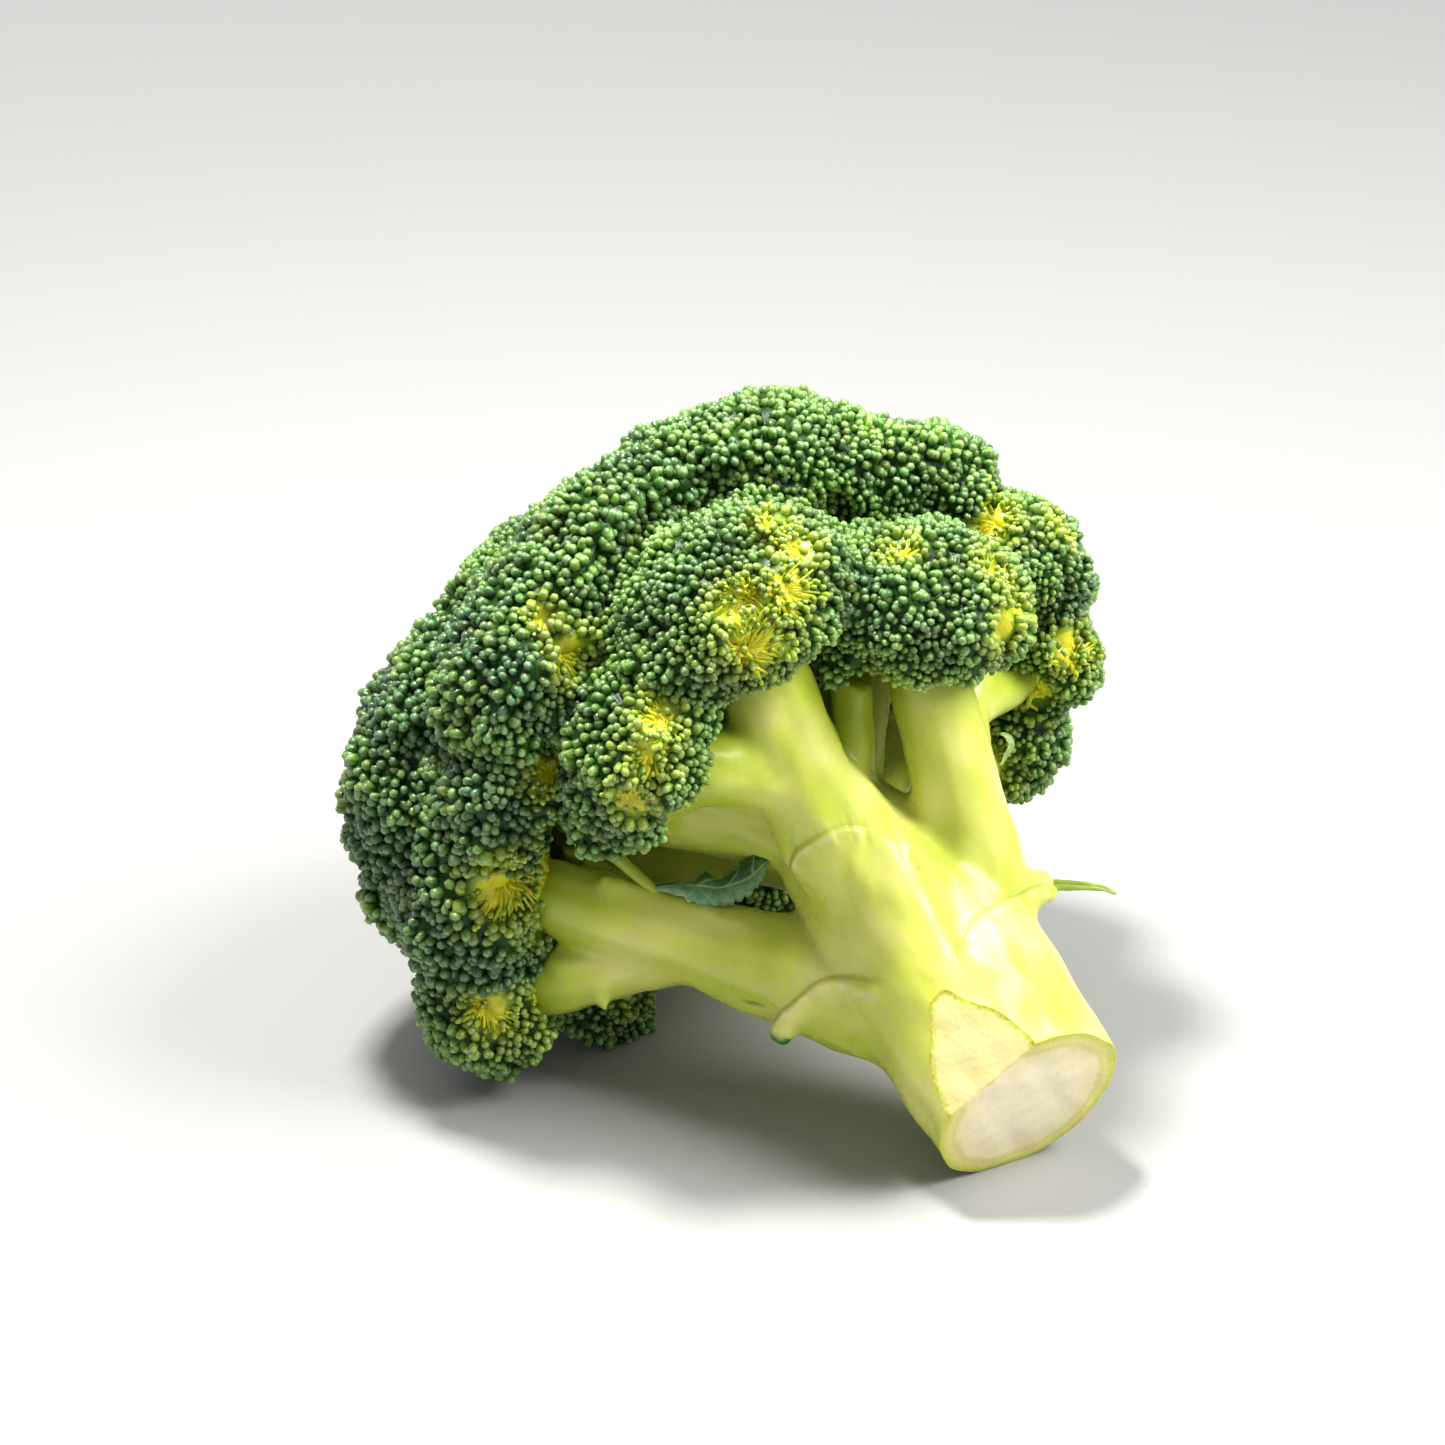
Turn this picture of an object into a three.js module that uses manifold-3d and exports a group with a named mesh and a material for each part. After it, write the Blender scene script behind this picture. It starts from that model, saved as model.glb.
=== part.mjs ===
// Broccoli head, cut from its plant and lying on its side. Millimetres, +Z up.
// A thick cut stalk rests its lower rim on the surface and rises into the crown, where it divides
// into branches. Each branch ends in a bud head, a domed cushion of packed buds. The heads press
// against each other and part along flat seams. The lowest heads are flattened where they rest.
import * as THREE from "three";
import { mergeVertices } from "three/addons/utils/BufferGeometryUtils.js";
import Module from "manifold-3d";

const wasm = await Module();
wasm.setup();

// ---- driving dimensions -------------------------------------------------------------------
const CROWN_TILT = 35; // degrees, how far the crown's axis rises above the surface
const CROWN_HEIGHT = 63.5; // of the crown's middle above the surface
const GAP = 0.3; // between neighbouring pieces
const STALK_SIDES = 20;
const STALK_RINGS = 12;
const BRANCH_SIDES = 10;
const BRANCH_RINGS = 7;

// The stalk's middle line from its cut end to the crown's middle, and its radius along it.
const STALK_LINE = [
  [10, -88, 14.3],
  [9, -67, 28],
  [6, -44, 45.5],
  [2, -16, 58.5],
  [0, 6, 67.5],
];
const STALK_RADII = [19, 20, 18.5, 11, 9];

// The two knife cuts at the stalk's end: one across it, and a slanting one where a side shoot was
// trimmed off. Each is a point on the cut and the way the cut face looks.
const END_CUT = { at: [9, -83.2, 16], facing: [-0.06, -0.92, -0.39] };
const SIDE_CUT = { at: [-3.5, -82.4, 30.4], facing: [-0.7, -0.58, 0.42] };

// Bud heads. clock is degrees round the crown's axis as seen from the stalk, 0 at the top and 90 to
// the right. lean is degrees away from the axis. reach is from the crown's middle to the head's.
// across is the radius of the head and high is how far it domes up from its middle. Heads crowded by
// their neighbours swell past that radius, which leaves only shallow seams between them.
const HEADS = {
  apex: { clock: 30, lean: 8, reach: 41, across: 26, high: 19, swell: 1.12 },
  top_left: { clock: -41, lean: 52, reach: 50, across: 24, high: 15, swell: 1.15 },
  top: { clock: 6, lean: 51, reach: 50, across: 24, high: 19, swell: 1.18 },
  top_right: { clock: 41, lean: 66, reach: 55, across: 23, high: 16, swell: 1.18 },
  shoulder_left: { clock: -66, lean: 72, reach: 54, across: 21, high: 16, swell: 1.22 },
  front: { clock: -21, lean: 88, reach: 54, across: 24, high: 18, swell: 1.06 },
  front_left: { clock: -51, lean: 104, reach: 54, across: 17, high: 15 },
  inner_left: { clock: -66, lean: 109, reach: 50, across: 12, high: 10 },
  middle_left: { clock: -84, lean: 88, reach: 54, across: 17, high: 14, swell: 1.2 },
  left: { clock: -107, lean: 69, reach: 58, across: 24, high: 18, swell: 1.18 },
  lower_left: { clock: -110, lean: 96, reach: 58, across: 21, high: 19, swell: 1.05 },
  lower_outer: { clock: -121, lean: 83, reach: 63, across: 19, high: 16, swell: 1.15 },
  rest_left: { clock: -126, lean: 108, reach: 70, across: 17, high: 16 },
  front_right: { clock: 18, lean: 100, reach: 54, across: 22, high: 18, swell: 1.06 },
  inner_top: { clock: 5, lean: 101, reach: 43, across: 12, high: 10 },
  right: { clock: 51, lean: 88, reach: 61, across: 20, high: 15, swell: 1.12 },
  right_small: { clock: 59, lean: 106, reach: 63, across: 13, high: 11 },
  right_lower: { clock: 79, lean: 114, reach: 54, across: 14, high: 13 },
  rest_inner: { clock: -152, lean: 111, reach: 59, across: 15, high: 12 },
  rest_back_left: { clock: -150, lean: 76, reach: 61, across: 22, high: 17, swell: 1.15 },
  rest_back: { clock: 178, lean: 84, reach: 63, across: 23, high: 17, swell: 1.15 },
  rest_right: { clock: 148, lean: 88, reach: 65, across: 22, high: 17, swell: 1.12 },
  lower_right: { clock: 110, lean: 88, reach: 59, across: 22, high: 17, swell: 1.15 },
  back_right: { clock: 78, lean: 70, reach: 57, across: 23, high: 17, swell: 1.18 },
  back_top: { clock: 84, lean: 38, reach: 50, across: 25, high: 19, swell: 1.2 },
  back_lower_right: { clock: 139, lean: 50, reach: 52, across: 26, high: 19, swell: 1.2 },
  back_lower_left: { clock: -160, lean: 44, reach: 50, across: 26, high: 19, swell: 1.2 },
  back_left: { clock: -98, lean: 33, reach: 47, across: 23, high: 16, swell: 1.12 },
};

// Branches. leaves is where each one leaves the stalk, or the branch named in from, as a share of
// its length. radii run from the foot, through the waist, to the flare under the head. The three
// thick limbs that show at the front also name the points they bend through.
const BRANCHES = {
  front: { leaves: 0.34, by: [[-2, -43, 55.5], [-11, -37, 73.5]], radii: [14, 12.5, 9.5, 12] },
  lower_left: { leaves: 0.24, by: [[-8, -42, 30], [-23, -21, 33.5]], radii: [15, 12, 8.5, 11] },
  front_right: { leaves: 0.24, by: [[17, -56, 44.5], [18, -49, 64.5]], radii: [13, 11.5, 8.5, 11] },
  rest_left: { from: "lower_left", leaves: 0.5, radii: [7.5, 7, 9] },
  lower_outer: { from: "lower_left", leaves: 0.45, radii: [7, 6.5, 9] },
  front_left: { from: "front", leaves: 0.55, radii: [9, 7.5, 9] },
  left: { leaves: 0.55, radii: [10, 9, 12] },
  inner_left: { from: "front_left", leaves: 0.4, radii: [4.5, 4, 5] },
  middle_left: { from: "left", leaves: 0.35, radii: [6, 5.5, 7] },
  inner_top: { leaves: 0.5, radii: [5, 4, 5] },
  right: { from: "front_right", leaves: 0.5, radii: [7, 6, 8] },
  right_small: { from: "right", leaves: 0.35, radii: [4.5, 4, 5] },
  right_lower: { leaves: 0.42, radii: [7, 6, 7] },
  shoulder_left: { leaves: 0.6, radii: [8, 7.5, 10] },
  top_right: { leaves: 0.6, radii: [9, 8, 11] },
  lower_right: { leaves: 0.56, radii: [9, 8, 10] },
  rest_back: { leaves: 0.6, radii: [9, 8, 10] },
  rest_right: { leaves: 0.56, radii: [8, 7.5, 9] },
  rest_back_left: { leaves: 0.52, radii: [9, 8, 10] },
  rest_inner: { from: "rest_back_left", leaves: 0.4, radii: [5.5, 5, 6] },
  top: { leaves: 0.8, radii: [8, 7.5, 10] },
  top_left: { leaves: 0.85, radii: [8, 7.5, 10] },
  back_right: { leaves: 0.74, radii: [8, 7.5, 10] },
  back_top: { leaves: 0.88, radii: [8, 7.5, 10] },
  back_lower_right: { leaves: 0.82, radii: [8, 7.5, 10] },
  back_lower_left: { leaves: 0.84, radii: [8, 7.5, 10] },
  back_left: { leaves: 0.86, radii: [8, 7.5, 10] },
  apex: { leaves: 0.97, radii: [9, 9, 12] },
};

// Leaves left on the limbs: the line of the leaf stem and midrib, how wide the blade is, how much
// it folds along the midrib, and where along the line the blade begins.
const LEAVES = {
  leaf_left: {
    line: [[-37, -2, 41.5], [-31, -12, 44.5], [-24, -20, 42.5], [-10, -31, 50.5]],
    up: [-0.3, -0.6, 0.8],
    width: 13,
    fold: 2.6,
    blade: 0.38,
  },
  leaf_right: {
    line: [[27, -60, 46.5], [33, -64, 48.5], [41, -69, 46.5]],
    up: [0, -0.5, 0.9],
    width: 3,
    fold: 0.4,
    blade: 0.2,
  },
  leaf_curl: {
    line: [[22, -49, 69.5], [26, -51, 73.5], [28, -50, 76.5]],
    up: [0.7, -0.7, 0.1],
    width: 4,
    fold: 0.6,
    blade: 0.1,
  },
};
const LEAF_THICKNESS = 0.9;

// ---- materials ----------------------------------------------------------------------------
const skin = () => new THREE.MeshStandardMaterial({ color: "#c3cb55", roughness: 0.38, metalness: 0 });
const buds = () => new THREE.MeshStandardMaterial({ color: "#4b6b34", roughness: 0.55, metalness: 0 });
const leafGreen = () => new THREE.MeshStandardMaterial({ color: "#4a7a3c", roughness: 0.5, metalness: 0 });

// ---- solids -------------------------------------------------------------------------------
const vec = (p) => new THREE.Vector3(...p);
const radians = THREE.MathUtils.degToRad;

function solidOf(geometry) {
  const bare = geometry.clone();
  bare.deleteAttribute("normal");
  bare.deleteAttribute("uv");
  const merged = mergeVertices(bare, 1e-4);
  return new wasm.Manifold(
    new wasm.Mesh({
      numProp: 3,
      vertProperties: merged.attributes.position.array,
      triVerts: new Uint32Array(merged.index.array),
    }),
  );
}

function geometryOf(solid) {
  const mesh = solid.getMesh();
  const geometry = new THREE.BufferGeometry();
  geometry.setAttribute("position", new THREE.BufferAttribute(new Float32Array(mesh.vertProperties), 3));
  geometry.setIndex(new THREE.BufferAttribute(new Uint32Array(mesh.triVerts), 1));
  geometry.computeVertexNormals();
  return geometry;
}

// Cutting can leave crumbs beside the piece itself, so only the largest body is kept, and slivers
// thinner than this many millimetres are merged away.
const SLIVER = 0.05;
function largest(solid) {
  return solid.decompose().sort((a, b) => b.volume() - a.volume())[0].simplify(SLIVER);
}

function moveVertices(geometry, move) {
  const position = geometry.attributes.position;
  const point = new THREE.Vector3();
  for (let i = 0; i < position.count; i++) {
    move(point.fromBufferAttribute(position, i));
    position.setXYZ(i, point.x, point.y, point.z);
  }
  return geometry;
}

// Everything on the side of a plane that facing looks to.
const KNIFE = 400;
function beyond(at, facing) {
  const block = new THREE.BoxGeometry(KNIFE, KNIFE, KNIFE);
  const normal = facing.clone().normalize();
  block.applyQuaternion(new THREE.Quaternion().setFromUnitVectors(new THREE.Vector3(0, 0, 1), normal));
  block.translate(...at.clone().addScaledVector(normal, KNIFE / 2).toArray());
  return solidOf(block);
}

// A round limb along a curve, its radius eased through the values given. grow makes it thicker and
// longer all round, for cutting clearance in a neighbour.
function limb(curve, radii, sides, rings, grow = 0) {
  const profile = [new THREE.Vector2(0, 0)];
  for (let i = 0; i <= rings; i++) profile.push(new THREE.Vector2(1, i / rings));
  profile.push(new THREE.Vector2(0, 1));
  const tube = new THREE.LatheGeometry(profile, sides);
  const frames = curve.computeFrenetFrames(rings, false);
  const girth = new THREE.SplineCurve(radii.map((r, i) => new THREE.Vector2(i / (radii.length - 1), r)));
  return moveVertices(tube, (p) => {
    const share = p.y;
    const ring = Math.round(share * rings);
    const radius = girth.getPoint(share).y + grow;
    const past = share === 0 ? -grow : share === 1 ? grow : 0;
    const middle = curve.getPointAt(share).addScaledVector(frames.tangents[ring], past);
    const [across, out] = [p.x * radius, p.z * radius];
    p.copy(middle).addScaledVector(frames.normals[ring], -across).addScaledVector(frames.binormals[ring], out);
  });
}

// ---- the crown's frame --------------------------------------------------------------------
const crownMiddle = new THREE.Vector3(0, 0, CROWN_HEIGHT);
const crownAxis = new THREE.Vector3(0, Math.cos(radians(CROWN_TILT)), Math.sin(radians(CROWN_TILT)));
const crownUp = new THREE.Vector3(0, -Math.sin(radians(CROWN_TILT)), Math.cos(radians(CROWN_TILT)));
const crownRight = new THREE.Vector3(1, 0, 0);
const stalkCurve = new THREE.CatmullRomCurve3(STALK_LINE.map(vec));
const forkPoint = stalkCurve.getPointAt(0.55);

function headPlace({ clock, lean, reach }) {
  const [turn, tip] = [radians(clock), radians(lean)];
  return crownMiddle
    .clone()
    .addScaledVector(crownAxis, reach * Math.cos(tip))
    .addScaledVector(crownUp, reach * Math.sin(tip) * Math.cos(turn))
    .addScaledVector(crownRight, reach * Math.sin(tip) * Math.sin(turn));
}

// ---- bud heads ----------------------------------------------------------------------------
const LOBE_DEPTH = 0.08; // of the head, between one cluster of buds and the next
const LOBE_SPACING = 11;
const UNDERSIDE = 0.85; // of the dome's height, from the head's middle to its underside

function lobeDirections(count) {
  const golden = Math.PI * (3 - Math.sqrt(5));
  return Array.from({ length: count }, (_, i) => {
    const height = 1 - (2 * i + 1) / count;
    const ring = Math.sqrt(1 - height * height);
    return new THREE.Vector3(ring * Math.cos(golden * i), ring * Math.sin(golden * i), height);
  });
}

function headShape({ across, high, centre, growth, swell = 1 }, grow = 0) {
  const wide = across * swell;
  const lobes = lobeDirections(Math.round((4 * Math.PI * across * across) / (LOBE_SPACING * LOBE_SPACING)));
  const lobeAngle = LOBE_SPACING / across;
  const turn = new THREE.Quaternion().setFromUnitVectors(new THREE.Vector3(0, 0, 1), growth);
  const ball = new THREE.IcosahedronGeometry(1, across > 15 ? 3 : 2);
  return moveVertices(ball, (p) => {
    const away = Math.min(...lobes.map((lobe) => p.angleTo(lobe)));
    const full = 1 - LOBE_DEPTH * Math.min(1, (away / lobeAngle) ** 2 * 2);
    const deep = p.z > 0 ? high : high * UNDERSIDE;
    p.multiply(new THREE.Vector3(wide * full + grow, wide * full + grow, deep * full + grow));
    p.applyQuaternion(turn).add(centre);
  });
}

const heads = Object.entries(HEADS).map(([name, sizes]) => {
  const centre = headPlace(sizes);
  const head = { name, ...sizes, centre, growth: centre.clone().sub(forkPoint).normalize() };
  head.whole = solidOf(headShape(head));
  return head;
});

// Two heads that press together part along a flat seam, nearer to the smaller one.
function seamCut(mine, other) {
  const toOther = other.centre.clone().sub(mine.centre);
  const apart = toOther.length();
  if (apart > mine.across * (mine.swell ?? 1) + other.across * (other.swell ?? 1)) return null;
  const seam = (apart * apart + mine.across ** 2 - other.across ** 2) / (2 * apart);
  toOther.normalize();
  return beyond(mine.centre.clone().addScaledVector(toOther, seam - GAP / 2), toOther);
}

const surfaceCut = beyond(new THREE.Vector3(0, 0, 0), new THREE.Vector3(0, 0, -1));
for (const head of heads) {
  const cuts = heads.filter((other) => other !== head).map((other) => seamCut(head, other));
  head.solid = largest(wasm.Manifold.difference([head.whole, surfaceCut, ...cuts.filter(Boolean)]));
}
const allHeads = wasm.Manifold.union(heads.map((head) => solidOf(headShape(head, 1.5 * GAP))));

// ---- stalk and branches -------------------------------------------------------------------
const pieces = [];
const addPiece = (name, solid, cutter, material) => pieces.push({ name, solid, cutter, material });

const endCut = beyond(vec(END_CUT.at), vec(END_CUT.facing));
const sideCut = beyond(vec(SIDE_CUT.at), vec(SIDE_CUT.facing));
const stalkShape = (grow) => solidOf(limb(stalkCurve, STALK_RADII, STALK_SIDES, STALK_RINGS, grow));
const stalk = wasm.Manifold.difference([stalkShape(0), endCut, sideCut, surfaceCut, allHeads]);
addPiece("stalk", largest(stalk), stalkShape(GAP), skin());

// A branch sets out along its parent's own direction and turns to come up under its head.
const branchCurves = {};
function branchCurve(name) {
  if (branchCurves[name]) return branchCurves[name];
  const { from, leaves, by } = BRANCHES[name];
  const parent = from ? branchCurve(from) : stalkCurve;
  const foot = parent.getPointAt(leaves);
  const { centre, growth, high } = heads.find((head) => head.name === name);
  const end = centre.clone().addScaledVector(growth, -0.2 * high);
  const stretch = foot.distanceTo(end);
  const setOut = foot.clone().addScaledVector(parent.getTangentAt(leaves), 0.2 * stretch);
  const comeUp = end.clone().addScaledVector(growth, -0.3 * stretch);
  branchCurves[name] = by
    ? new THREE.CatmullRomCurve3([foot, ...by.map(vec), end])
    : new THREE.CubicBezierCurve3(foot, setOut, comeUp, end);
  return branchCurves[name];
}

for (const [name, { radii }] of Object.entries(BRANCHES)) {
  const shape = (grow) => solidOf(limb(branchCurve(name), radii, BRANCH_SIDES, BRANCH_RINGS, grow));
  const others = pieces.map((piece) => piece.cutter);
  const solid = wasm.Manifold.difference([shape(0), surfaceCut, allHeads, ...others]);
  addPiece(`branch_${name}`, largest(solid), shape(GAP), skin());
}

// ---- leaves -------------------------------------------------------------------------------
function leafShape({ line, up, width, fold, blade }) {
  const curve = new THREE.CatmullRomCurve3(line.map(vec));
  const strip = new THREE.BoxGeometry(1, 1, 1, 4, 12, 1);
  return moveVertices(strip, (p) => {
    const share = p.y + 0.5;
    const along = curve.getTangentAt(share);
    const side = new THREE.Vector3().crossVectors(along, vec(up)).normalize();
    const top = new THREE.Vector3().crossVectors(side, along);
    const spread = Math.sin(Math.PI * Math.min(0.97, Math.max(0, (share - blade) / (1 - blade)))) ** 0.7;
    const wide = LEAF_THICKNESS * 1.5 + (width - LEAF_THICKNESS * 1.5) * spread;
    const lift = fold * spread * 4 * p.x * p.x + p.z * LEAF_THICKNESS;
    const across = p.x * wide;
    p.copy(curve.getPointAt(share)).addScaledVector(side, across).addScaledVector(top, lift);
  });
}

for (const [name, leaf] of Object.entries(LEAVES)) {
  const others = pieces.map((piece) => piece.cutter);
  const solid = largest(wasm.Manifold.difference([solidOf(leafShape(leaf)), allHeads, ...others]));
  addPiece(name, solid, solid, leafGreen());
}

for (const { name, solid } of heads) addPiece(`head_${name}`, solid, solid, buds());

// ---- the scene ----------------------------------------------------------------------------
const broccoli = new THREE.Group();
broccoli.name = "broccoli_head";
for (const { name, solid, material } of pieces) {
  const mesh = new THREE.Mesh(geometryOf(solid), material);
  mesh.name = name;
  broccoli.add(mesh);
}

// The origin is on the surface, under the middle of the head's box.
const box = new THREE.Box3().setFromObject(broccoli);
const middle = box.getCenter(new THREE.Vector3());
for (const mesh of broccoli.children) mesh.position.set(-middle.x, -middle.y, -box.min.z);

export default broccoli;
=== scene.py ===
import math

import bmesh
import bpy
import numpy as np
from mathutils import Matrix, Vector
from mathutils.bvhtree import BVHTree
from mathutils.kdtree import KDTree


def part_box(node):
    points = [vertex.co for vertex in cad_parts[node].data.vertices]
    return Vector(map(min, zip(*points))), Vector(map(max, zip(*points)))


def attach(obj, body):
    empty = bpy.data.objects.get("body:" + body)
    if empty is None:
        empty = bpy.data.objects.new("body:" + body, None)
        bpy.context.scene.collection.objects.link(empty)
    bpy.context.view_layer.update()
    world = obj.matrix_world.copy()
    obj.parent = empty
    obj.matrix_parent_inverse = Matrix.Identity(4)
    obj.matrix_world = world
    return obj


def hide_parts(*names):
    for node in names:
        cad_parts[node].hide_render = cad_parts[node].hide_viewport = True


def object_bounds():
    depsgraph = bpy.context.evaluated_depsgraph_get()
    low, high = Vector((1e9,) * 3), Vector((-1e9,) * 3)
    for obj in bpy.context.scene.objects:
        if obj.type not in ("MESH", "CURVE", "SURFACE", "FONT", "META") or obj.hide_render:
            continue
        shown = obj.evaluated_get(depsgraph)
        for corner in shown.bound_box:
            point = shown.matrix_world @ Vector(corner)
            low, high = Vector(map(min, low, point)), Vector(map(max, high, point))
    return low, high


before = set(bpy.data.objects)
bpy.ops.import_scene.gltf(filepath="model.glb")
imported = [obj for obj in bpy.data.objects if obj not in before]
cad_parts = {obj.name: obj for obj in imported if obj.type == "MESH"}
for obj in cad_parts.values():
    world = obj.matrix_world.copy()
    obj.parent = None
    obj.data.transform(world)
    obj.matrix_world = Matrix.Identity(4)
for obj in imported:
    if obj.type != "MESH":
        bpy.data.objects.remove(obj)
cad_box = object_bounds()

MM = 0.001
rng = np.random.default_rng(7)


# ---- colour and shader nodes --------------------------------------------------------------
def linear(hex_colour):
    """A shader's linear colour from an sRGB hex value."""
    parts = [int(hex_colour[i : i + 2], 16) / 255 for i in (1, 3, 5)]
    curved = [c / 12.92 if c <= 0.04045 else ((c + 0.055) / 1.055) ** 2.4 for c in parts]
    return (*curved, 1.0)


def put(tree, kind, inputs=None, stops=None, **settings):
    """Adds a node with its settings, its inputs filled or linked, and its colour ramp's stops."""
    node = tree.nodes.new("ShaderNode" + kind)
    for name, value in settings.items():
        setattr(node, name, value)
    for name, value in (inputs or {}).items():
        socket = node.inputs[name]
        if isinstance(value, bpy.types.NodeSocket):
            tree.links.new(value, socket)
        else:
            socket.default_value = linear(value) if isinstance(value, str) else value
    if stops:
        elements = node.color_ramp.elements
        while len(elements) < len(stops):
            elements.new(0.5)
        for element, (place, colour) in zip(elements, stops):
            element.position = place
            element.color = linear(colour)
    return node


def new_material(name):
    material = bpy.data.materials.new(name)
    material.use_nodes = True
    material.node_tree.nodes.clear()
    return material, material.node_tree


def finish_material(tree, shader):
    put(tree, "OutputMaterial", {"Surface": shader.outputs[0]})


def painted(tree, name):
    """The red, green, blue and alpha of the values painted on a mesh under this name."""
    layer = put(tree, "Attribute", attribute_name=name)
    parts = put(tree, "SeparateColor", {0: layer.outputs["Color"]})
    return [*parts.outputs, layer.outputs["Alpha"]]


A, B, MIXED = 6, 7, 2  # a colour mix node's two inputs and its result


def blend_colours(tree, share, first, second, blend="MIX"):
    mix = put(tree, "Mix", {0: share, A: first, B: second}, data_type="RGBA", blend_type=blend)
    return mix.outputs[MIXED]


# ---- numbers ------------------------------------------------------------------------------
def unit(vectors):
    return vectors / np.maximum(np.linalg.norm(vectors, axis=-1, keepdims=True), 1e-12)


def ramp(values, start, end):
    """0 up to start, 1 past end, eased between them. The two may be in either order."""
    share = np.clip((values - start) / (end - start), 0, 1)
    return share * share * (3 - 2 * share)


def waves(points, length, seed):
    """A smooth field over space, about -1 to 1, whose swells are this far apart."""
    local = np.random.default_rng(seed)
    total = np.zeros(len(points))
    for _ in range(7):
        direction = unit(local.normal(size=3))
        pace = 2 * math.pi / length * local.uniform(0.7, 1.4)
        total += np.sin(points @ direction * pace + local.uniform(0, 2 * math.pi))
    return total / 2.6


def tree_of(points):
    tree = KDTree(len(points))
    for i, p in enumerate(points):
        tree.insert(p, i)
    tree.balance()
    return tree


def nearest(points, centres):
    """Each point's distance to the nearest centre."""
    tree = tree_of(centres)
    return np.array([tree.find(p)[2] for p in points])


def to_line(points, line):
    """Each point's distance to a line of points, its nearest place on it, and its share along it."""
    steps = np.linalg.norm(np.diff(line, axis=0), axis=1)
    starts = np.concatenate([[0], np.cumsum(steps)]) / steps.sum()
    best = np.full(len(points), np.inf)
    place = np.zeros((len(points), 3))
    share = np.zeros(len(points))
    for i, (a, b) in enumerate(zip(line[:-1], line[1:])):
        along = np.clip((points - a) @ (b - a) / ((b - a) @ (b - a)), 0, 1)
        spot = a + along[:, None] * (b - a)
        gap = np.linalg.norm(points - spot, axis=1)
        closer = gap < best
        best[closer] = gap[closer]
        place[closer] = spot[closer]
        share[closer] = (starts[i] + along * (starts[i + 1] - starts[i]))[closer]
    return best, place, share


# ---- mesh helpers -------------------------------------------------------------------------
def only(obj):
    bpy.ops.object.select_all(action="DESELECT")
    obj.select_set(True)
    bpy.context.view_layer.objects.active = obj
    return obj


def link(name, data):
    obj = bpy.data.objects.new(name, data)
    bpy.context.scene.collection.objects.link(obj)
    return obj


def as_mesh(name, part):
    """A mesh from a bmesh, which is used up."""
    mesh = bpy.data.meshes.new(name)
    part.to_mesh(mesh)
    part.free()
    return mesh


def node_mesh(node):
    """A CAD node's mesh as a bmesh with its loose triangles merged."""
    part = bmesh.new()
    part.from_mesh(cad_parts[node].data)
    bmesh.ops.remove_doubles(part, verts=part.verts, dist=0.01 * MM)
    return part


def join(name, parts):
    """One object from bmeshes, which are used up."""
    joined = bmesh.new()
    for part in parts:
        mesh = as_mesh("part", part)
        joined.from_mesh(mesh)
        bpy.data.meshes.remove(mesh)
    return link(name, as_mesh(name, joined))


def remesh(obj, voxel, smoothing):
    """Melts an object's parts into one skin of even quads, and smooths it."""
    only(obj)
    skin = obj.modifiers.new("melt", "REMESH")
    skin.mode = "VOXEL"
    skin.voxel_size = voxel
    bpy.ops.object.modifier_apply(modifier="melt")
    if smoothing:
        soften = obj.modifiers.new("soften", "SMOOTH")
        soften.factor = 0.5
        soften.iterations = smoothing
        bpy.ops.object.modifier_apply(modifier="soften")
    return obj


def read(items, field, width, kind=np.int32):
    """One field of a mesh's items as an array, with this many numbers to an item."""
    values = np.empty(len(items) * width, kind)
    items.foreach_get(field, values)
    return values.reshape(-1, width) if width > 1 else values


def points_of(mesh):
    return read(mesh.vertices, "co", 3, np.float32).astype(float)


def normals_of(mesh):
    mesh.update()
    return read(mesh.vertex_normals, "vector", 3, np.float32).astype(float)


def place_points(mesh, points):
    mesh.vertices.foreach_set("co", np.ascontiguousarray(points, np.float32).ravel())
    mesh.update()


def triangles_of(mesh):
    mesh.calc_loop_triangles()
    return read(mesh.loop_triangles, "vertices", 3)


def smooth(mesh):
    mesh.polygons.foreach_set("use_smooth", np.ones(len(mesh.polygons), bool))


def evened(values, edges, times):
    """Values at a mesh's vertices, averaged with their neighbours' this many times."""
    values = np.asarray(values, float)
    wide = values.reshape(len(values), -1)
    both = np.concatenate([edges, edges[:, ::-1]])
    count = np.maximum(np.bincount(both[:, 0], minlength=len(wide)), 1)
    for _ in range(times):
        sums = [np.bincount(both[:, 0], column[both[:, 1]], len(wide)) / count for column in wide.T]
        wide = 0.5 * wide + 0.5 * np.stack(sums, 1)
    return wide.reshape(values.shape)


def paint(mesh, name, colours):
    """Keeps four values for each vertex, which a material reads by name."""
    layer = mesh.attributes.new(name, "FLOAT_COLOR", "POINT")
    layer.data.foreach_set("color", np.ascontiguousarray(colours, np.float32).ravel())


def scatter(points, normals, triangles, amount):
    """Random places on a surface with their normals, evenly by area, and the area."""
    corners = points[triangles]
    sides = np.cross(corners[:, 1] - corners[:, 0], corners[:, 2] - corners[:, 0])
    areas = 0.5 * np.linalg.norm(sides, axis=1)
    chosen = rng.choice(len(triangles), amount, p=areas / areas.sum())
    a, b = rng.random(amount), rng.random(amount)
    flip = a + b > 1
    a[flip], b[flip] = 1 - a[flip], 1 - b[flip]
    weights = np.stack([1 - a - b, a, b], 1)[:, :, None]
    at = (points[triangles[chosen]] * weights).sum(1)
    facing = unit((normals[triangles[chosen]] * weights).sum(1))
    return at, facing, areas.sum()


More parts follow.
